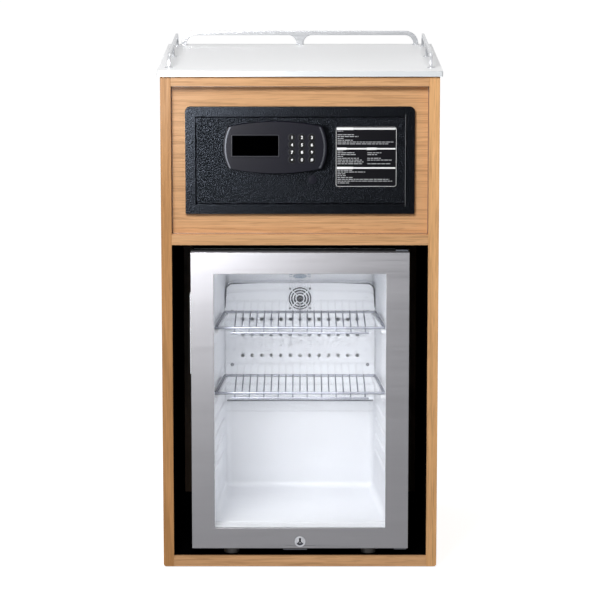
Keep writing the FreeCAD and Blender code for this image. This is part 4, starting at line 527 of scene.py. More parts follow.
class MeshPile:
    """Points and faces of many alike small shapes that become one piece."""

    def __init__(self) -> None:
        """Starts empty."""
        self.points: list[Point] = []
        self.faces: list[list[int]] = []

    def loops(self, rings: Sequence[Sequence[Point]], cap_start: bool = False, cap_end: bool = False,
              close: bool = False) -> None:
        """Joins rings of equal count with quads.

        Args:
            rings: closed rings of points, in order.
            cap_start: whether the first ring is filled.
            cap_end: whether the last ring is filled.
            close: whether the last ring joins the first.
        """
        base, count = len(self.points), len(rings[0])
        for ring in rings:
            self.points.extend(tuple(p) for p in ring)
        steps = len(rings) if close else len(rings) - 1
        for i in range(steps):
            here, there = base + i * count, base + ((i + 1) % len(rings)) * count
            for j in range(count):
                k = (j + 1) % count
                self.faces.append([here + j, here + k, there + k, there + j])
        if cap_start:
            self.faces.append([base + j for j in range(count)])
        if cap_end:
            self.faces.append([base + (len(rings) - 1) * count + j for j in range(count)])

    def lathe(self, centre: Point, axis: Axis, sign: float, profile: Sequence[tuple[float, float]],
              steps: int = 28, lobes: dict[int, float] | None = None, capped: bool = True) -> None:
        """Turns a profile of (radius, height) about an axis through a centre.

        Args:
            centre: where height is 0.
            axis: the axis that it turns about.
            sign: 1 if height grows along the axis, -1 if against it.
            profile: (radius, height) pairs, in metres.
            steps: points on each ring.
            lobes: profile number to how deeply that ring is pinched to a cross.
            capped: whether the first and last rings are filled.
        """
        u, v = [a for a in Axis if a is not axis]
        rings = []
        for i, (radius, height) in enumerate(profile):
            pinch = (lobes or {}).get(i, 0.0)
            ring = []
            for j in range(steps):
                angle = 2 * math.pi * j / steps
                r = radius * (1.0 - pinch * (1.0 - abs(math.cos(2 * angle)) ** 0.5))
                point = list(centre)
                point[u.value] += r * math.cos(angle)
                point[v.value] += r * math.sin(angle)
                point[axis.value] += sign * height
                ring.append(tuple(point))
            rings.append(ring)
        self.loops(rings, cap_start=capped, cap_end=capped)

    def bar(self, low: Point, high: Point, ease: float) -> None:
        """A block with eased edges, made of four rings stacked along Z.

        Args:
            low: lowest corner.
            high: highest corner.
            ease: how much its edges are cut back.
        """
        (x0, y0, z0), (x1, y1, z1) = low, high

        def ring(inset: float, z: float) -> list[Point]:
            e = ease
            a, b, c, d = x0 + inset, x1 - inset, y0 + inset, y1 - inset
            return [(a + e, c, z), (b - e, c, z), (b, c + e, z), (b, d - e, z),
                    (b - e, d, z), (a + e, d, z), (a, d - e, z), (a, c + e, z)]

        self.loops([ring(ease, z0), ring(0.0, z0 + ease), ring(0.0, z1 - ease), ring(ease, z1)],
                   cap_start=True, cap_end=True)

    def tube(self, path: Sequence[Point], radius: float, steps: int = 12) -> None:
        """A round tube along a path of points."""
        rings = []
        reference = Vector((0.0, 0.0, 1.0))
        points = [Vector(p) for p in path]
        for i, point in enumerate(points):
            ahead, behind = points[min(i + 1, len(points) - 1)], points[max(i - 1, 0)]
            way = (ahead - behind).normalized()
            side = way.cross(reference)
            if side.length < 0.2:
                side = way.cross(Vector((1.0, 0.0, 0.0)))
            side.normalize()
            up = side.cross(way).normalized()
            ring = []
            for j in range(steps):
                angle = 2 * math.pi * j / steps
                ring.append(tuple(point + side * radius * math.cos(angle) + up * radius * math.sin(angle)))
            rings.append(ring)
        self.loops(rings, cap_start=True, cap_end=True)

    def piece(self, name: str, finish: Finish, slot: str, body: str,
              smooth: bool = True) -> bpy.types.Object:
        """Makes the piece."""
        return add_mesh(name, self.points, self.faces, finish, body, smooth)


def front_middle(node: str) -> Flat:
    """The middle of a CAD node's box in x and z."""
    low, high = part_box(node)
    return (low.x + high.x) / 2, (low.z + high.z) / 2


def front_half(node: str) -> Flat:
    """Half the width and half the height of a CAD node's box."""
    low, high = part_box(node)
    return (high.x - low.x) / 2, (high.z - low.z) / 2


def rounded_loop(centre: Flat, half: Flat, radius: float, steps: int = 6) -> Loop:
    """The outline of a rounded rectangle, as points of a plane."""
    (cx, cy), (hx, hy) = centre, half
    loop = []
    for quarter, (sx, sy) in enumerate(((1, 1), (-1, 1), (-1, -1), (1, -1))):
        for i in range(steps + 1):
            angle = math.pi / 2 * (quarter + i / steps)
            loop.append((cx + sx * (hx - radius) + radius * math.cos(angle),
                         cy + sy * (hy - radius) + radius * math.sin(angle)))
    return loop


def upright_band(pile: MeshPile, outer: Loop, inner: Loop, profile: Sequence[tuple[float, float]]) -> None:
    """A closed band between two upright outlines.

    Args:
        pile: what it is added to.
        outer: the outer outline in x and z.
        inner: the inner outline, with as many points.
        profile: (share of the way from outer to inner, y) pairs round the band's section.
    """
    rings = []
    for share, y in profile:
        rings.append([(a[0] + (b[0] - a[0]) * share, y, a[1] + (b[1] - a[1]) * share)
                      for a, b in zip(outer, inner)])
    pile.loops(rings, close=True)


PAN_HEAD = ((1.0, 0.0), (1.0, 0.18), (0.9, 0.42), (0.62, 0.58), (0.40, 0.60), (0.34, 0.30), (0.05, 0.22))


def pan_head(pile: MeshPile, centre: Point, axis: Axis, sign: float, radius: float) -> None:
    """A pan-head screw with a cross recess."""
    profile = [(radius * r, radius * h) for r, h in PAN_HEAD]
    pile.lathe(centre, axis, sign, profile, steps=32, lobes={4: 0.55, 5: 0.6})


def soften(node: str, width: float, segments: int = 2, angle_deg: float = 40.0) -> None:
    """Eases the sharp edges of a CAD node by modifiers alone.

    Args:
        node: the node's name.
        width: how wide the eased edge is, in metres.
        segments: how many faces it has across.
        angle_deg: edges sharper than this are eased.
    """
    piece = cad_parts[node]
    weld = piece.modifiers.new("weld", "WELD")
    weld.merge_threshold = 1e-6
    bevel = piece.modifiers.new("ease", "BEVEL")
    bevel.width = width
    bevel.segments = segments
    bevel.limit_method = "ANGLE"
    bevel.angle_limit = math.radians(angle_deg)
    bevel.use_clamp_overlap = True
    bevel.harden_normals = False
    normals = piece.modifiers.new("normals", "WEIGHTED_NORMAL")
    normals.keep_sharp = False
    normals.weight = 80


def dress(node: str, finish: Finish, ease: float = 0.0, segments: int = 2) -> None:
    """Gives a CAD node its finish and, if asked, eased edges."""
    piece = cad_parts[node]
    piece.data.materials.clear()
    piece.data.materials.append(finish.material())
    if ease > 0:
        soften(node, ease, segments)
    LOG.info("node %s: %s", node, finish.name)


# ------------------------------------------------------------------ carcass
@dataclass
class Carcass:
    """Oak boards, dark bay lining, hardboard back and floor glides."""

    board_ease: float = 0.5 * MM
    fascia_shadow_width: float = 2.2 * MM
    back_screw_radius: float = 4.0 * MM
    back_screw_pitch: float = 145 * MM
    back_screw_inset: float = 9 * MM
    body: str = "cabinet"

    def build(self) -> None:
        """Dresses the boards and adds the back's screws."""
        dress("side_panel_left", Finishes.oak_left_painted_shade, self.board_ease)
        dress("side_panel_right", Finishes.oak_right_painted_light, self.board_ease)
        dress("top_panel", Finishes.oak_top, self.board_ease)
        dress("middle_shelf", Finishes.oak_shelf, self.board_ease)
        dress("bottom_panel", Finishes.oak_bottom, self.board_ease)
        dress("safe_fascia", Finishes.oak_fascia, self.board_ease)
        dress("back_panel", Finishes.hardboard, self.board_ease)
        dress("bay_lining", Finishes.laminate)
        dress("floor_glides", Finishes.glide, 0.4 * MM)
        self.fascia_shadow_line()
        self.back_screws()

    def fascia_shadow_line(self) -> None:
        """Painted shadow: dark strips laid on the fascia's face along its edges, where the boards shade its
        recess.
        """
        y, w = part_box("safe_fascia")[0].y, self.fascia_shadow_width
        left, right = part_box("side_panel_left")[1].x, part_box("side_panel_right")[0].x
        floor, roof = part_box("middle_shelf")[1].z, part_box("top_panel")[0].z
        pile = MeshPile()
        # Full width on the left and top and narrower on the right and bottom, as painted shade from the
        # light above left.
        for x0, x1, z0, z1 in ((left, left + w, floor, roof), (right - w * 0.7, right, floor, roof),
                               (left, right, roof - w, roof), (left, right, floor, floor + w * 0.5)):
            pile.bar((x0, y - 0.15 * MM, z0), (x1, y, z1), 0.05 * MM)
        pile.piece("fascia_shadow_line", Finishes.fascia_shadow, "oak", self.body, smooth=False)

    def back_screws(self) -> None:
        """Screws along the upright and level edges of the back."""
        low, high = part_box("back_panel")
        inset = self.back_screw_inset
        pile = MeshPile()
        rows = int((high.z - low.z - 2 * inset) // self.back_screw_pitch)
        for i in range(rows + 1):
            z = low.z + inset + (high.z - low.z - 2 * inset) * i / rows
            for x in (low.x + inset, high.x - inset):
                pan_head(pile, (x, high.y, z), Axis.Y, 1.0, self.back_screw_radius)
        pile.piece("back_screws", Finishes.zinc, "zinc_steel", self.body)


# ------------------------------------------------------------------ worktop
@dataclass
class Worktop:
    """Glass slab, bedding strip and gallery rails."""

    slab_ease: float = 0.8 * MM
    rail_ease: float = 0.7 * MM
    rosette_radius: float = 7.5 * MM
    rosette_height: float = 1.4 * MM
    leg_middle: float = 5 * MM
    body: str = "cabinet"

    def build(self) -> None:
        """Dresses the slab and rails and sets a rosette under every post."""
        dress("worktop", Finishes.slab, self.slab_ease, 3)
        dress("worktop_bedding", Finishes.bedding)
        dress("gallery_rail_back", Finishes.rail, self.rail_ease)
        dress("gallery_rails_side", Finishes.rail_side, self.rail_ease)
        self.rosettes()

    def rosettes(self) -> None:
        """Thin round feet that the legs and middle posts stand on."""
        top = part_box("worktop")[1].z
        back_low, back_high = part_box("gallery_rail_back")
        side_low, side_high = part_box("gallery_rails_side")
        back_y = (back_low.y + back_high.y) / 2
        bar = back_high.y - back_low.y
        leg = self.leg_middle
        places = [(x, back_y) for x in (back_low.x + leg, 0.0, back_high.x - leg)]
        for x in (side_low.x + bar / 2, side_high.x - bar / 2):
            middle = (side_low.y + side_high.y) / 2
            places += [(x, y) for y in (side_low.y + leg, middle, side_high.y - leg)]
        r, h = self.rosette_radius, self.rosette_height
        pile = MeshPile()
        for x, y in places:
            pile.lathe((x, y, top), Axis.Z, 1.0,
                       [(r, 0.0), (r, h * 0.4), (r * 0.94, h * 0.8), (r * 0.8, h), (r * 0.3, h)], steps=36)
        pile.piece("rail_rosettes", Finishes.rail, "rail_chrome", self.body)


# ------------------------------------------------------------------ safe
@dataclass
class Safe:
    """Powder-coated safe with its keypad, plate and lockwork."""

    coat_ease: float = 0.9 * MM
    key_names: tuple[str, ...] = ("1", "2", "3", "4", "5", "6", "7", "8", "9", "star", "0", "hash")
    key_signs: dict[str, str] = field(default_factory=lambda: {"star": "*", "hash": "#"})
    digit_size: float = 7.4 * MM
    digit_depth: float = 0.08 * MM
    digit_weight: float = 0.16 * MM
    surround_radius: float = 7.4 * MM
    lip_width: float = 3.0 * MM
    edge_highlight_width: float = 0.6 * MM
    hinge_edge_gap: float = 2 * MM
    outline_inset: float = 0.7 * MM
    bar_height: float = 2.7 * MM
    heading_height: float = 4.0 * MM
    row_height: float = 1.2 * MM
    row_pitch: float = 3.3 * MM
    cover_screw_inset: float = 9 * MM
    cover_screw_radius: float = 3.6 * MM
    plate_sections: tuple[Section, ...] = (
        (0.035, ((0.0, 1.0, (0.09, 0.0, 0.28, 0.36, 0.10, 0.26, 0.97, 0.88)),)),
        (0.365, ((0.0, 0.47, (0.2, 0.66, 0.70, 0.2, 0.80, 0.92, 0.98, 0.95)),
                 (0.51, 1.0, (0.0, 0.50, 0.34, 0.0, 0.48, 0.90, 0.0, 0.82)))),
        (0.685, ((0.0, 1.0, (0.25, 0.48, 0.14, 0.14, 0.26, 0.90, 0.95, 0.20)),)),
    )
    seed: int = 11
    body: str = "safe_door"

    def build(self) -> None:
        """Dresses the safe and adds its small parts."""
        dress("safe_body", Finishes.safe_front_coat, self.coat_ease)
        dress("safe_battens", Finishes.softwood)
        dress("safe_anchor_bolts", Finishes.zinc, 0.5 * MM)
        dress("safe_door_plate", Finishes.safe_coat, 0.6 * MM)
        dress("lock_cover", Finishes.safe_coat, 0.8 * MM)
        dress("locking_bolts", Finishes.zinc, 0.8 * MM)
        dress("keypad_housing", Finishes.keypad, 1.6 * MM, 3)
        dress("keypad_trims", Finishes.trim, 0.25 * MM)
        dress("display_window", Finishes.display, 0.3 * MM)
        dress("instruction_plate", Finishes.plate, 0.2 * MM)
        dress("override_lock_cap", Finishes.keypad, 0.6 * MM)
        self.keys()
        self.display_lip()
        self.hinge_edge_highlight()
        self.plate_marks()
        self.cap_crown()
        self.cover_screws()

    def keys(self) -> None:
        """Key caps with their signs, and a raised lip round each."""
        surrounds = MeshPile()
        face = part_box("keypad_housing")[0].y
        for name in self.key_names:
            node = "key_" + name
            dress(node, Finishes.key, 0.5 * MM, 2)
            x, z = front_middle(node)
            r = self.surround_radius
            surrounds.lathe((x, face, z), Axis.Y, -1.0,
                            [(r, -0.05 * MM), (r, 0.25 * MM), (r * 0.96, 0.45 * MM), (r * 0.82, 0.45 * MM),
                             (r * 0.79, 0.2 * MM), (r * 0.79, -0.05 * MM)], steps=40, capped=False)
            self.sign(node, self.key_signs.get(name, name), (x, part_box(node)[0].y, z))
        surrounds.piece("key_surrounds", Finishes.keypad_lip, "keypad_plastic", self.body)

    def sign(self, node: str, text: str, place: Point) -> None:
        """One raised sign on the middle of a key's face."""
        curve = bpy.data.curves.new(node + "_sign", "FONT")
        curve.body = text
        curve.size = self.digit_size
        curve.extrude = self.digit_depth
        curve.offset = self.digit_weight
        curve.align_x, curve.align_y = "CENTER", "CENTER"
        holder = bpy.data.objects.new(node + "_text", curve)
        bpy.context.scene.collection.objects.link(holder)
        bpy.context.view_layer.update()
        solved = holder.evaluated_get(bpy.context.evaluated_depsgraph_get())
        mesh = bpy.data.meshes.new_from_object(solved)
        bpy.data.objects.remove(holder)
        xs, ys = [v.co.x for v in mesh.vertices], [v.co.y for v in mesh.vertices]
        mid_x, mid_y = (min(xs) + max(xs)) / 2, (min(ys) + max(ys)) / 2
        x, y, z = place[0] - mid_x, place[1] - self.digit_depth * 0.9, place[2] - mid_y
        points = [(x + v.co.x, y - v.co.z, z + v.co.y) for v in mesh.vertices]
        faces = [list(p.vertices) for p in mesh.polygons]
        bpy.data.meshes.remove(mesh)
        add_mesh(node + "_sign", points, faces, Finishes.sign, node, smooth=False)

    def display_lip(self) -> None:
        """A raised bead round the display."""
        centre, half, w = front_middle("display_window"), front_half("display_window"), self.lip_width
        outer = rounded_loop(centre, (half[0] + w, half[1] + w), 3.5 * MM)
        inner = rounded_loop(centre, (half[0] + 0.1 * MM, half[1] + 0.1 * MM), 1.0 * MM)
        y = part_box("keypad_housing")[0].y
        pile = MeshPile()
        upright_band(pile, outer, inner, [(0.0, y + 0.1 * MM), (0.05, y - 0.25 * MM), (0.35, y - 0.7 * MM),
                                          (0.75, y - 0.7 * MM), (1.0, y - 0.1 * MM), (1.0, y + 0.1 * MM)])
        pile.piece("display_lip", Finishes.keypad_lip, "keypad_plastic", self.body)

    def hinge_edge_highlight(self) -> None:
        """Painted highlight: a pale strip on the door's hinge-side edge, where that edge catches the light.
        """
        low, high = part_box("safe_door_plate")
        y, x, gap = low.y, high.x, self.hinge_edge_gap
        pile = MeshPile()
        pile.bar((x - self.edge_highlight_width, y - 0.04 * MM, low.z + gap), (x, y + 0.2 * MM, high.z - gap),
                 0.03 * MM)
        pile.piece("door_edge_highlight", Finishes.edge_highlight, "safe_paint", self.body, smooth=False)

    def plate_marks(self) -> None:
        """White outline, three heading bars and rows of plain ruled marks on the plate."""
        low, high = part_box("instruction_plate")
        centre, half = front_middle("instruction_plate"), front_half("instruction_plate")
        y, inset = low.y, self.outline_inset
        outline, bars, rows = MeshPile(), MeshPile(), MeshPile()
        outer = rounded_loop(centre, (half[0] - inset, half[1] - inset), 4 * MM)
        inner = rounded_loop(centre, (half[0] - 1.8 * inset, half[1] - 1.8 * inset), 3.5 * MM)
        upright_band(outline, outer, inner, [(0.0, y), (0.0, y - 0.1 * MM), (1.0, y - 0.1 * MM), (1.0, y)])
        outline.piece("plate_outline", Finishes.marking, "plate_print", self.body, smooth=False)
        left, width = low.x + 2.4 * MM, high.x - low.x - 4.8 * MM
        height = high.z - low.z
        draw = random.Random(self.seed)

        def mark(pile: MeshPile, start: float, end: float, z: float, thick: float,
                 proud: float = 0.12) -> None:
            pile.bar((left + start * width, y - proud * MM, z - thick / 2),
                     (left + end * width, y, z + thick / 2), 0.03 * MM)

        for top_share, columns in self.plate_sections:
            top = high.z - top_share * height
            mark(bars, 0.0, 1.0, top, self.bar_height)
            for start, stop, lengths in columns:
                mark(bars, start, start + 0.22 * (stop - start) + 0.06, top, self.heading_height, 0.18)
                for row, share in enumerate(lengths):
                    z = top - self.heading_height - row * self.row_pitch
                    x, end = start + 0.01, start + 0.01 + share * (stop - start - 0.02)
                    while x < end:
                        step = draw.uniform(0.03, 0.09)
                        mark(rows, x, min(x + step, end + 0.004), z, self.row_height)
                        x += step + 0.012
        bars.piece("plate_heading_bars", Finishes.marking, "plate_print", self.body, smooth=False)
        rows.piece("plate_marks", Finishes.fine_marking, "plate_print", self.body, smooth=False)

    def cap_crown(self) -> None:
        """A low crown on the override lock's cap."""
        (x, z), r = front_middle("override_lock_cap"), front_half("override_lock_cap")[0]
        pile = MeshPile()
        pile.lathe((x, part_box("override_lock_cap")[0].y, z), Axis.Y, -1.0,
                   [(r * 0.72, -0.1 * MM), (r * 0.72, 0.15 * MM), (r * 0.66, 0.35 * MM),
                    (r * 0.3, 0.5 * MM), (r * 0.02, 0.55 * MM)], steps=40)
        pile.piece("override_cap_crown", Finishes.keypad, "keypad_plastic", self.body)

    def cover_screws(self) -> None:
        """Four screws on the rear of the lock cover."""
        low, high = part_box("lock_cover")
        inset = self.cover_screw_inset
        pile = MeshPile()
        for x in (low.x + inset, high.x - inset):
            for z in (low.z + inset, high.z - inset):
                pan_head(pile, (x, high.y, z), Axis.Y, 1.0, self.cover_screw_radius)
        pile.piece("lock_cover_screws", Finishes.zinc, "zinc_steel", self.body)


# ------------------------------------------------------------------ fridge
@dataclass
class Fridge:
    """Insulated body, cold air parts, wire shelves and machine bay."""

    liner_ease: float = 2.0 * MM
    screw_radius: float = 3.4 * MM
    panel_screw_x: float = 129 * MM
    panel_screw_heights: tuple[float, ...] = (424.3 * MM, 321.4 * MM)
    grille_screw_offset: float = 18.9 * MM
    grille_screw_radius: float = 2.3 * MM
    hinge_screw_radius: float = 3.0 * MM
    duct_radius: float = 21.5 * MM
    duct_length: float = 22 * MM
    duct_hub_radius: float = 9.0 * MM
    panel_corner: float = 15 * MM
    panel_shadow_width: float = 3.0 * MM
    panel_shadow_height: float = 3.0 * MM
    panel_shadow_end_gap: float = 3 * MM
    panel_shadow_reach: float = 0.55
    lamp_rib_count: int = 9
    condenser_wires: int = 26
    condenser_edge: float = 24 * MM
    condenser_inlet_x: float = 146 * MM
    copper_radius: float = 2.4 * MM
    body: str = "cabinet"

    def build(self) -> None:
        """Dresses the fridge and adds its small parts."""
        dress("fridge_wrap", Finishes.black_sheet, 0.8 * MM)
        dress("fridge_insulation", Finishes.foam)
        dress("fridge_liner", Finishes.liner, self.liner_ease, 3)
        dress("fridge_base", Finishes.zinc, 0.5 * MM)
        dress("fridge_feet", Finishes.glide, 1.0 * MM)
        dress("air_panel", Finishes.panel, 0.5 * MM)
        dress("fan_grille", Finishes.panel, 0.3 * MM)
        dress("fan_rotor", Finishes.fan)
        self.fan_frame()
        self.panel_shadow_lines()
        dress("lamp_housing", Finishes.lamp, 1.0 * MM)
        dress("evaporator", Finishes.cold_plate)
        dress("shelf_upper", Finishes.wire)
        dress("shelf_lower", Finishes.wire)
        dress("compressor", Finishes.enamel)
        dress("condenser", Finishes.enamel)
        dress("power_inlet", Finishes.glide, 0.6 * MM)
        dress("door_hinges", Finishes.dark_zinc, 0.4 * MM)
        dress("lock_striker", Finishes.dark_zinc, 0.4 * MM)
        self.panel_screws()
        self.grille_screws()
        self.lamp_ribs()
        self.hinge_screws()
        self.condenser_wiring()
        self.compressor_fittings()
        self.inlet_pins()

    def panel_screws(self) -> None:
        """Four screws that hold the air panel."""
        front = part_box("air_panel")[0].y
        pile = MeshPile()
        for x in (-self.panel_screw_x, self.panel_screw_x):
            for z in self.panel_screw_heights:
                pan_head(pile, (x, front, z), Axis.Y, -1.0, self.screw_radius)
        pile.piece("air_panel_screws", Finishes.screw, "zinc_steel", self.body)

    def fan_frame(self) -> None:
        """The dark lining of the fan's duct, with a guard ring behind the blades."""
        (x, z), front, length = front_middle("fan_grille"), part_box("air_panel")[0].y, self.duct_length
        outer, inner, hub = self.duct_radius - 0.05 * MM, self.duct_radius - 1.2 * MM, self.duct_hub_radius
        pile = MeshPile()
        pile.lathe((x, front, z), Axis.Y, 1.0,
                   [(hub, length), (hub, length - 1 * MM), (inner, length - 1 * MM), (inner, 0.4 * MM),
                    (outer, 0.2 * MM), (outer, length)], steps=64, capped=False)
        pile.piece("fan_frame", Finishes.fan, "fan_grey", self.body)

    def panel_shadow_lines(self) -> None:
        """Painted shadow: a dark strip along the air panel's rounded top and its lower edge, widest at the
        top corners, where the gap to the rear wall lies in shade.
        """
        low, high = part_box("air_panel")
        y, r, half, w = low.y, self.panel_corner, (high.x - low.x) / 2, self.panel_shadow_width
        middle = self.panel_shadow_reach * half
        line = [(-half, high.z - 3.2 * r, -1.0, 0.0, 0.3)]
        for side, first in ((-1, math.pi), (1, math.pi / 2)):
            angles = [first - math.pi / 16 * i for i in range(9)]
            arc = [(side * (half - r) + r * math.cos(a), high.z - r + r * math.sin(a),
                    math.cos(a), math.sin(a), 1.0) for a in angles]
            rest = (side * middle, high.z, 0.0, 1.0, 0.25)
            line += [*arc, rest] if side < 0 else [rest, *arc]
        line.append((half, high.z - 3.2 * r, 1.0, 0.0, 0.3))
        pile = MeshPile()
        pile.loops([[(x - nx * w * share * k, y + d, z - nz * w * share * k)
                     for k, d in ((0.02, -0.1 * MM), (1.0, -0.1 * MM), (1.0, 1.0 * MM), (0.02, 1.0 * MM))]
                    for x, z, nx, nz, share in line], cap_start=True, cap_end=True)
        reach = half - self.panel_shadow_end_gap
        pile.bar((-reach, y - 0.3 * MM, low.z), (reach, y + 1 * MM, low.z + self.panel_shadow_height), 0.1 * MM)
        pile.piece("air_panel_shadow_lines", Finishes.seam, "panel_white", self.body)

    def grille_screws(self) -> None:
        """Four screws round the fan grille."""
        (x, z), front = front_middle("fan_grille"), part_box("air_panel")[0].y
        d = self.grille_screw_offset
        pile = MeshPile()
        for dx in (-d, d):
            for dz in (-d, d):
                pan_head(pile, (x + dx, front, z + dz), Axis.Y, -1.0, self.grille_screw_radius)
        pile.piece("fan_grille_screws", Finishes.screw, "zinc_steel", self.body)

    def lamp_ribs(self) -> None:
        """Fine ribs under the lamp cover, its two side clips and its oval front lens."""
        low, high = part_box("lamp_housing")
        pile = MeshPile()
        count = self.lamp_rib_count
        for i in range(count):
            y = low.y + 8 * MM + (high.y - low.y - 16 * MM) * i / (count - 1)
            pile.bar((low.x + 9 * MM, y - 0.9 * MM, low.z - 0.8 * MM),
                     (high.x - 9 * MM, y + 0.9 * MM, low.z + 0.4 * MM), 0.3 * MM)
        pile.piece("lamp_ribs", Finishes.lamp, "lamp_cover", self.body)
        clips = MeshPile()
        for x in (low.x - 3 * MM, high.x - 1 * MM):
            clips.bar((x, low.y + 12 * MM, high.z - 6 * MM),
                      (x + 4 * MM, high.y - 12 * MM, high.z - 0.2 * MM), 0.6 * MM)
        clips.piece("lamp_clips", Finishes.panel, "panel_white", self.body)
        front = MeshPile()
        middle, z = (low.x + high.x) / 2, low.z + 6.5 * MM
        rings = [[(middle + a * math.cos(t), low.y - d, z + b * math.sin(t))
                  for t in (2 * math.pi * j / 40 for j in range(40))]
                 for a, b, d in ((12.5 * MM, 4.2 * MM, 0.0), (12.5 * MM, 4.2 * MM, 0.3 * MM),
                                 (11.5 * MM, 3.4 * MM, 0.5 * MM), (6 * MM, 1.6 * MM, 0.6 * MM))]
        front.loops(rings, cap_end=True)
        for side in (-1, 1):
            for reach in (15.0 * MM, 18.2 * MM):
                for height in (5.5 * MM, 9.5 * MM):
                    front.lathe((middle + side * reach, low.y, low.z + height), Axis.Y, -1.0,
                                [(1.1 * MM, 0.0), (1.1 * MM, 0.15 * MM), (0.7 * MM, 0.3 * MM)], steps=12)
        front.piece("lamp_lens", Finishes.lens, "lamp_cover", self.body)

    def hinge_screws(self) -> None:
        """Two screws on the top hinge and two under the bottom one."""
        low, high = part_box("door_hinges")
        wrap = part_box("fridge_wrap")[0]
        x = (low.x + high.x) / 2
        pile = MeshPile()
        for y in (wrap.y + 5 * MM, wrap.y + 14 * MM):
            pan_head(pile, (x, y, high.z), Axis.Z, 1.0, self.hinge_screw_radius)
            pan_head(pile, (x, y, low.z), Axis.Z, -1.0, self.hinge_screw_radius)
        pile.piece("hinge_screws", Finishes.zinc, "zinc_steel", self.body)

    def condenser_wiring(self) -> None:
        """Thin upright wires welded across the condenser's tube."""
        low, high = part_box("condenser")
        y = high.y + 0.3 * MM
        half = (high.x - low.x) / 2 - self.condenser_edge
        pile = MeshPile()
        for i in range(self.condenser_wires):
            x = -half + 2 * half * i / (self.condenser_wires - 1)
            pile.tube([(x, y, low.z), (x, y, high.z)], 0.8 * MM, 8)
        pile.piece("condenser_wires", Finishes.enamel, "condenser_black", self.body)

    def compressor_fittings(self) -> None:
        """Weld seam, terminal box, copper tubes and foot bolts of the compressor."""
        low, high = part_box("compressor")
        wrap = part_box("fridge_wrap")[1]
        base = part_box("fridge_base")[1].z
        cy, cz = (low.y + high.y) / 2, high.z - (high.y - low.y) / 2
        cx, r = (low.x + high.x) / 2, (high.y - low.y) / 2
        seam = MeshPile()
        seam.lathe((cx, cy, cz), Axis.X, 1.0, [(r * 0.99, -3 * MM), (r * 1.012, -1.6 * MM),
                                               (r * 1.012, 1.6 * MM), (r * 0.99, 3 * MM)],
                   steps=64, capped=False)
        seam.piece("compressor_seam", Finishes.enamel, "compressor_black", self.body)
        box_pile = MeshPile()
        box_pile.bar((low.x - 13 * MM, cy - 17 * MM, cz - 15 * MM),
                     (low.x + 2 * MM, cy + 17 * MM, cz + 17 * MM), 1.5 * MM)
        box_pile.piece("compressor_terminal_box", Finishes.glide, "inlet_black", self.body)
        copper = MeshPile()
        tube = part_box("condenser")[0]
        top = [(high.x - 30 * MM, cy, high.z - 3 * MM), (high.x - 30 * MM, cy, high.z + 14 * MM),
               (high.x - 22 * MM, cy - 6 * MM, high.z + 24 * MM),
               (high.x - 8 * MM, wrap.y + 14 * MM, high.z + 28 * MM),
               (self.condenser_inlet_x, wrap.y + 14 * MM, tube.z + 7.4 * MM)]
        copper.tube(smooth_path(top), self.copper_radius)
        back = [(low.x + 25 * MM, cy, high.z - 3 * MM), (low.x + 25 * MM, cy, high.z + 12 * MM),
                (low.x + 10 * MM, cy - 12 * MM, high.z + 22 * MM),
                (low.x - 22 * MM, wrap.y + 10 * MM, high.z + 24 * MM),
                (low.x - 40 * MM, wrap.y + 1 * MM, high.z + 24 * MM)]
        copper.tube(smooth_path(back), self.copper_radius)
        copper.piece("compressor_tubes", Finishes.copper, "zinc_steel", self.body)
        bolts = MeshPile()
        for x in (cx - (high.x - low.x) / 4, cx + (high.x - low.x) / 4):
            for y in (cy - r * 0.75, cy + r * 0.75):
                bolts.lathe((x, y, base), Axis.Z, 1.0,
                            [(5 * MM, 0.0), (5 * MM, 3.4 * MM), (4.2 * MM, 4 * MM), (1.5 * MM, 4 * MM)],
                            steps=6)
        bolts.piece("compressor_bolts", Finishes.zinc, "zinc_steel", self.body, smooth=False)

    def inlet_pins(self) -> None:
        """Three contacts inside the power inlet."""
        (x, z), rear = front_middle("power_inlet"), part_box("power_inlet")[1].y
        pile = MeshPile()
        for dx, dz in ((-6 * MM, -2 * MM), (0.0, 3 * MM), (6 * MM, -2 * MM)):
            pile.bar((x + dx - 1 * MM, rear - 18.5 * MM, z + dz - 2 * MM),
                     (x + dx + 1 * MM, rear - 4 * MM, z + dz + 2 * MM), 0.3 * MM)
        pile.piece("inlet_contacts", Finishes.pin_brass, "zinc_steel", self.body)


def smooth_path(points: Sequence[Point], steps: int = 8) -> list[Point]:
    """A smooth path through points, by Catmull-Rom spans."""
    knots = [Vector(p) for p in points]
    knots = [knots[0] * 2 - knots[1], *knots, knots[-1] * 2 - knots[-2]]
    path = []
    for i in range(1, len(knots) - 2):
        a, b, c, d = knots[i - 1:i + 3]
        for j in range(steps):
            t = j / steps
            path.append(tuple(0.5 * ((2 * b) + (c - a) * t + (2 * a - 5 * b + 4 * c - d) * t * t
                                     + (3 * b - a - 3 * c + d) * t ** 3)))
    path.append(tuple(knots[-2]))
    return path


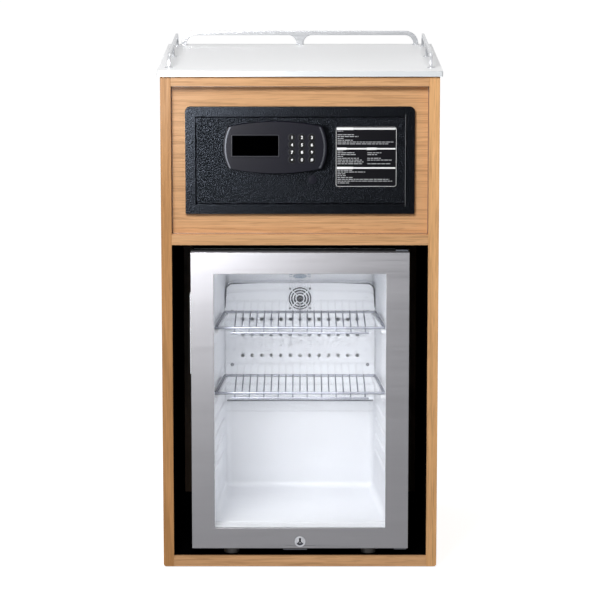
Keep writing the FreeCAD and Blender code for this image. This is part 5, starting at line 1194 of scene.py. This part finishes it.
# ------------------------------------------------------------------ fridge door
@dataclass
class FridgeDoor:
    """Steel-faced glass door with its seal, pull and lock."""

    steel_ease: float = 1.0 * MM
    plug_radius: float = 7.0 * MM
    keyhole_half: float = 1.6 * MM
    keyhole_foot: float = 0.2 * MM
    keyhole_top: float = 6.8 * MM
    shutter_reach: float = 4.8 * MM
    shutter_drop: float = 3.4 * MM
    shutter_half: float = 0.8 * MM
    shade_start_deg: float = -155.0
    shade_sweep_deg: float = 130.0
    seal_width: float = 12 * MM
    body: str = "fridge_door"

    def build(self) -> None:
        """Dresses the door and adds the shaped seal and the face of the lock."""
        dress("door_frame", Finishes.steel, self.steel_ease, 3)
        dress("door_inner_frame", Finishes.door_plastic, 0.8 * MM)
        dress("door_glass", Finishes.glass)
        dress("door_pull", Finishes.pull, 0.3 * MM)
        dress("lock_housing", Finishes.lock, 0.5 * MM, 3)
        dress("lock_plug", Finishes.lock, 0.3 * MM)
        dress("door_gasket", Finishes.seal)
        self.keyhole()
        self.seal()

    def keyhole(self) -> None:
        """The keyway and its shutter lines as near-black marks of painted shade on the plug's face, over
        painted shade on its lower part.
        """
        (x, z), y = front_middle("lock_housing"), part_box("lock_housing")[0].y
        dark, shade = MeshPile(), MeshPile()
        # Painted shade standing for the keyway's dark opening.
        dark.bar((x - self.keyhole_half, y - 0.08 * MM, z + self.keyhole_foot),
                 (x + self.keyhole_half, y + 0.1 * MM, z + self.keyhole_top), 0.05 * MM)
        top = Vector((x, 0, z + self.shutter_half))
        for side in (-1, 1):
            end = Vector((x + side * self.shutter_reach, 0, z - self.shutter_drop))
            across = Vector((end.z - top.z, 0, -(end.x - top.x))).normalized() * self.shutter_half
            ring = [top + across, end + across, end - across, top - across]
            dark.loops([[(p.x, y + d, p.z) for p in ring] for d in (-0.07 * MM, 0.05 * MM)],
                       cap_start=True, cap_end=True)
        # Painted shade over the lower part of the plug's face.
        r = self.plug_radius - 0.1 * MM
        turns = [math.radians(self.shade_start_deg + self.shade_sweep_deg * i / 24) for i in range(25)]
        arc = [(x + r * math.cos(t), z + r * math.sin(t)) for t in turns]
        shade.loops([[(px, y + d, pz) for px, pz in arc] for d in (-0.05 * MM, 0.05 * MM)],
                    cap_start=True, cap_end=True)
        dark.piece("lock_keyhole", Finishes.keyway_shade, "lock_chrome", "door_lock", smooth=False)
        shade.piece("lock_lower_painted_shade", Finishes.lock_shade, "lock_chrome", "door_lock", smooth=False)

    def seal(self) -> None:
        """The folded magnetic seal."""
        low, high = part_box("door_gasket")
        centre, half, w = front_middle("door_gasket"), front_half("door_gasket"), self.seal_width
        outer = rounded_loop(centre, half, 5 * MM)
        inner = rounded_loop(centre, (half[0] - w, half[1] - w), 2 * MM)
        inward = ((0.75, 0.0), (0.78, 0.12), (0.62, 0.25), (0.90, 0.42), (1.0, 0.55), (1.0, 0.9),
                  (0.92, 1.0))
        outward = [(1.0 - share, depth) for share, depth in reversed(inward)]
        pile = MeshPile()
        upright_band(pile, outer, inner, [(share, low.y + depth * (high.y - low.y))
                                          for share, depth in (*inward, *outward)])
        piece = pile.piece("door_seal", Finishes.seal, "gasket", self.body)
        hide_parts("door_gasket")


# ------------------------------------------------------------------ studio
@dataclass(frozen=True)
class Lamp:
    """One soft rectangular lamp, aimed at a point, that may show in glossy surfaces alone."""

    name: str
    place: Point
    aim: Point
    size: Flat
    watts: float
    gloss_only: bool = False

    def set_up(self) -> None:
        """Puts the lamp into the scene."""
        light = bpy.data.lights.new(self.name, "AREA")
        light.shape = "RECTANGLE"
        light.size, light.size_y = self.size
        light.energy = self.watts
        holder = bpy.data.objects.new(self.name, light)
        holder.location = self.place
        holder.rotation_mode = "QUATERNION"
        holder.rotation_quaternion = (Vector(self.aim) - Vector(self.place)).to_track_quat("-Z", "Y")
        holder.visible_diffuse = not self.gloss_only
        holder.visible_camera = False
        bpy.context.scene.collection.objects.link(holder)


@dataclass
class Studio:
    """Floor, world, lamps and camera."""

    floor_reach: float = 14.0
    floor_grey: float = 0.62
    floor_glow: float = 0.85
    world_strength: float = 0.30
    sensor_width: float = 36.0
    view_end: float = 100.0
    camera_distance: float = 5.5
    camera_height: float = 1.5
    camera_pitch_deg: float = 10.312
    camera_lens: float = 185.7

    def build(self) -> None:
        """Sets the stage."""
        self.floor()
        self.world()
        self.lamps()
        self.camera()
        bpy.context.scene.view_settings.view_transform = "Standard"

    def floor(self) -> None:
        """A pale floor that keeps a soft shadow."""
        r = self.floor_reach
        mesh = bpy.data.meshes.new("floor")
        mesh.from_pydata([(-r, -r, 0.0), (r, -r, 0.0), (r, r, 0.0), (-r, r, 0.0)], [], [(0, 1, 2, 3)])
        material = bpy.data.materials.new("pale_floor")
        material.use_nodes = True
        material.node_tree.nodes.clear()
        graph = Graph(material.node_tree)
        matt = graph.add("BsdfDiffuse", {"Color": (self.floor_grey, self.floor_grey, self.floor_grey, 1.0)})
        strength = graph.math("MULTIPLY", self.seen(graph), self.floor_glow)
        glow = graph.add("Emission", {"Color": (1.0, 1.0, 1.0, 1.0), "Strength": strength})
        both = graph.add("AddShader", {0: matt.outputs[0], 1: glow.outputs[0]})
        graph.add("OutputMaterial", {"Surface": both.outputs[0]})
        mesh.materials.append(material)
        piece = bpy.data.objects.new("floor", mesh)
        bpy.context.scene.collection.objects.link(piece)

    @staticmethod
    def seen(graph: Graph) -> bpy.types.NodeSocket:
        """1 where the surroundings are seen directly, in gloss or through glass."""
        path = graph.add("LightPath").outputs
        return graph.math("MAXIMUM", path["Is Camera Ray"],
                          graph.math("MAXIMUM", path["Is Glossy Ray"], path["Is Transmission Ray"]))

    def world(self) -> None:
        """Even white surroundings, at full white where they are seen."""
        world = bpy.data.worlds.new("studio_world")
        world.use_nodes = True
        world.node_tree.nodes.clear()
        graph = Graph(world.node_tree)
        strength = graph.remap(self.seen(graph), 0.0, 1.0, self.world_strength, 1.0)
        back = graph.add("Background", {"Color": (1.0, 1.0, 1.0, 1.0), "Strength": strength})
        graph.add("OutputWorld", {"Surface": back.outputs[0]})
        bpy.context.scene.world = world

    def lamps(self) -> None:
        """A key lamp and a top lamp, two lamps for the sheen of steel and safe, and two in the fridge."""
        low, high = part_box("fridge_liner")
        front, middle = low.y, (low + high) / 2
        for lamp in (
            Lamp("key_lamp", (-0.45, -1.55, 1.75), (0.05, -0.2, 0.6), (0.7, 0.5), 27.5),
            Lamp("top_lamp", (0.0, 0.25, 2.0), (0.0, 0.0, 0.94), (0.5, 0.5), 2.0),
            Lamp("sheen_lamp", (-0.34, -1.25, 0.62), (-0.2, -0.245, 0.62), (0.3, 0.3), 8.3, gloss_only=True),
            Lamp("safe_lamp", (-0.31, -0.60, 0.84), (-0.2, -0.245, 0.80), (0.10, 0.12), 28.0,
                 gloss_only=True),
            Lamp("fridge_lamp", (0.085, front + 0.02, middle.z + 0.01), (-0.10, high.y, middle.z + 0.03),
                 (0.20, 0.30), 0.315),
            Lamp("ceiling_lamp", (0.0, front + 0.03, high.z - 0.045), (0.0, high.y, high.z - 0.05),
                 (0.26, 0.015), 0.095),
        ):
            lamp.set_up()

    def camera(self) -> None:
        """A long lens, a little above the worktop, looking slightly down."""
        data = bpy.data.cameras.new("camera")
        data.lens = self.camera_lens
        data.sensor_width = self.sensor_width
        data.clip_end = self.view_end
        camera = bpy.data.objects.new("camera", data)
        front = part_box("side_panel_left")[0].y
        camera.location = (0.0, front - self.camera_distance, self.camera_height)
        camera.rotation_euler = (math.radians(90.0 - self.camera_pitch_deg), 0.0, 0.0)
        bpy.context.scene.collection.objects.link(camera)
        bpy.context.scene.camera = camera


def main() -> None:
    """Builds every sub-assembly."""
    logging.basicConfig(level=logging.INFO, format="%(name)s: %(message)s")
    for part in (Carcass(), Worktop(), Safe(), Fridge(), FridgeDoor(), Studio()):
        LOG.info("building %s", type(part).__name__)
        part.build()
    bpy.context.view_layer.update()


if __name__ == "__main__":
    main()
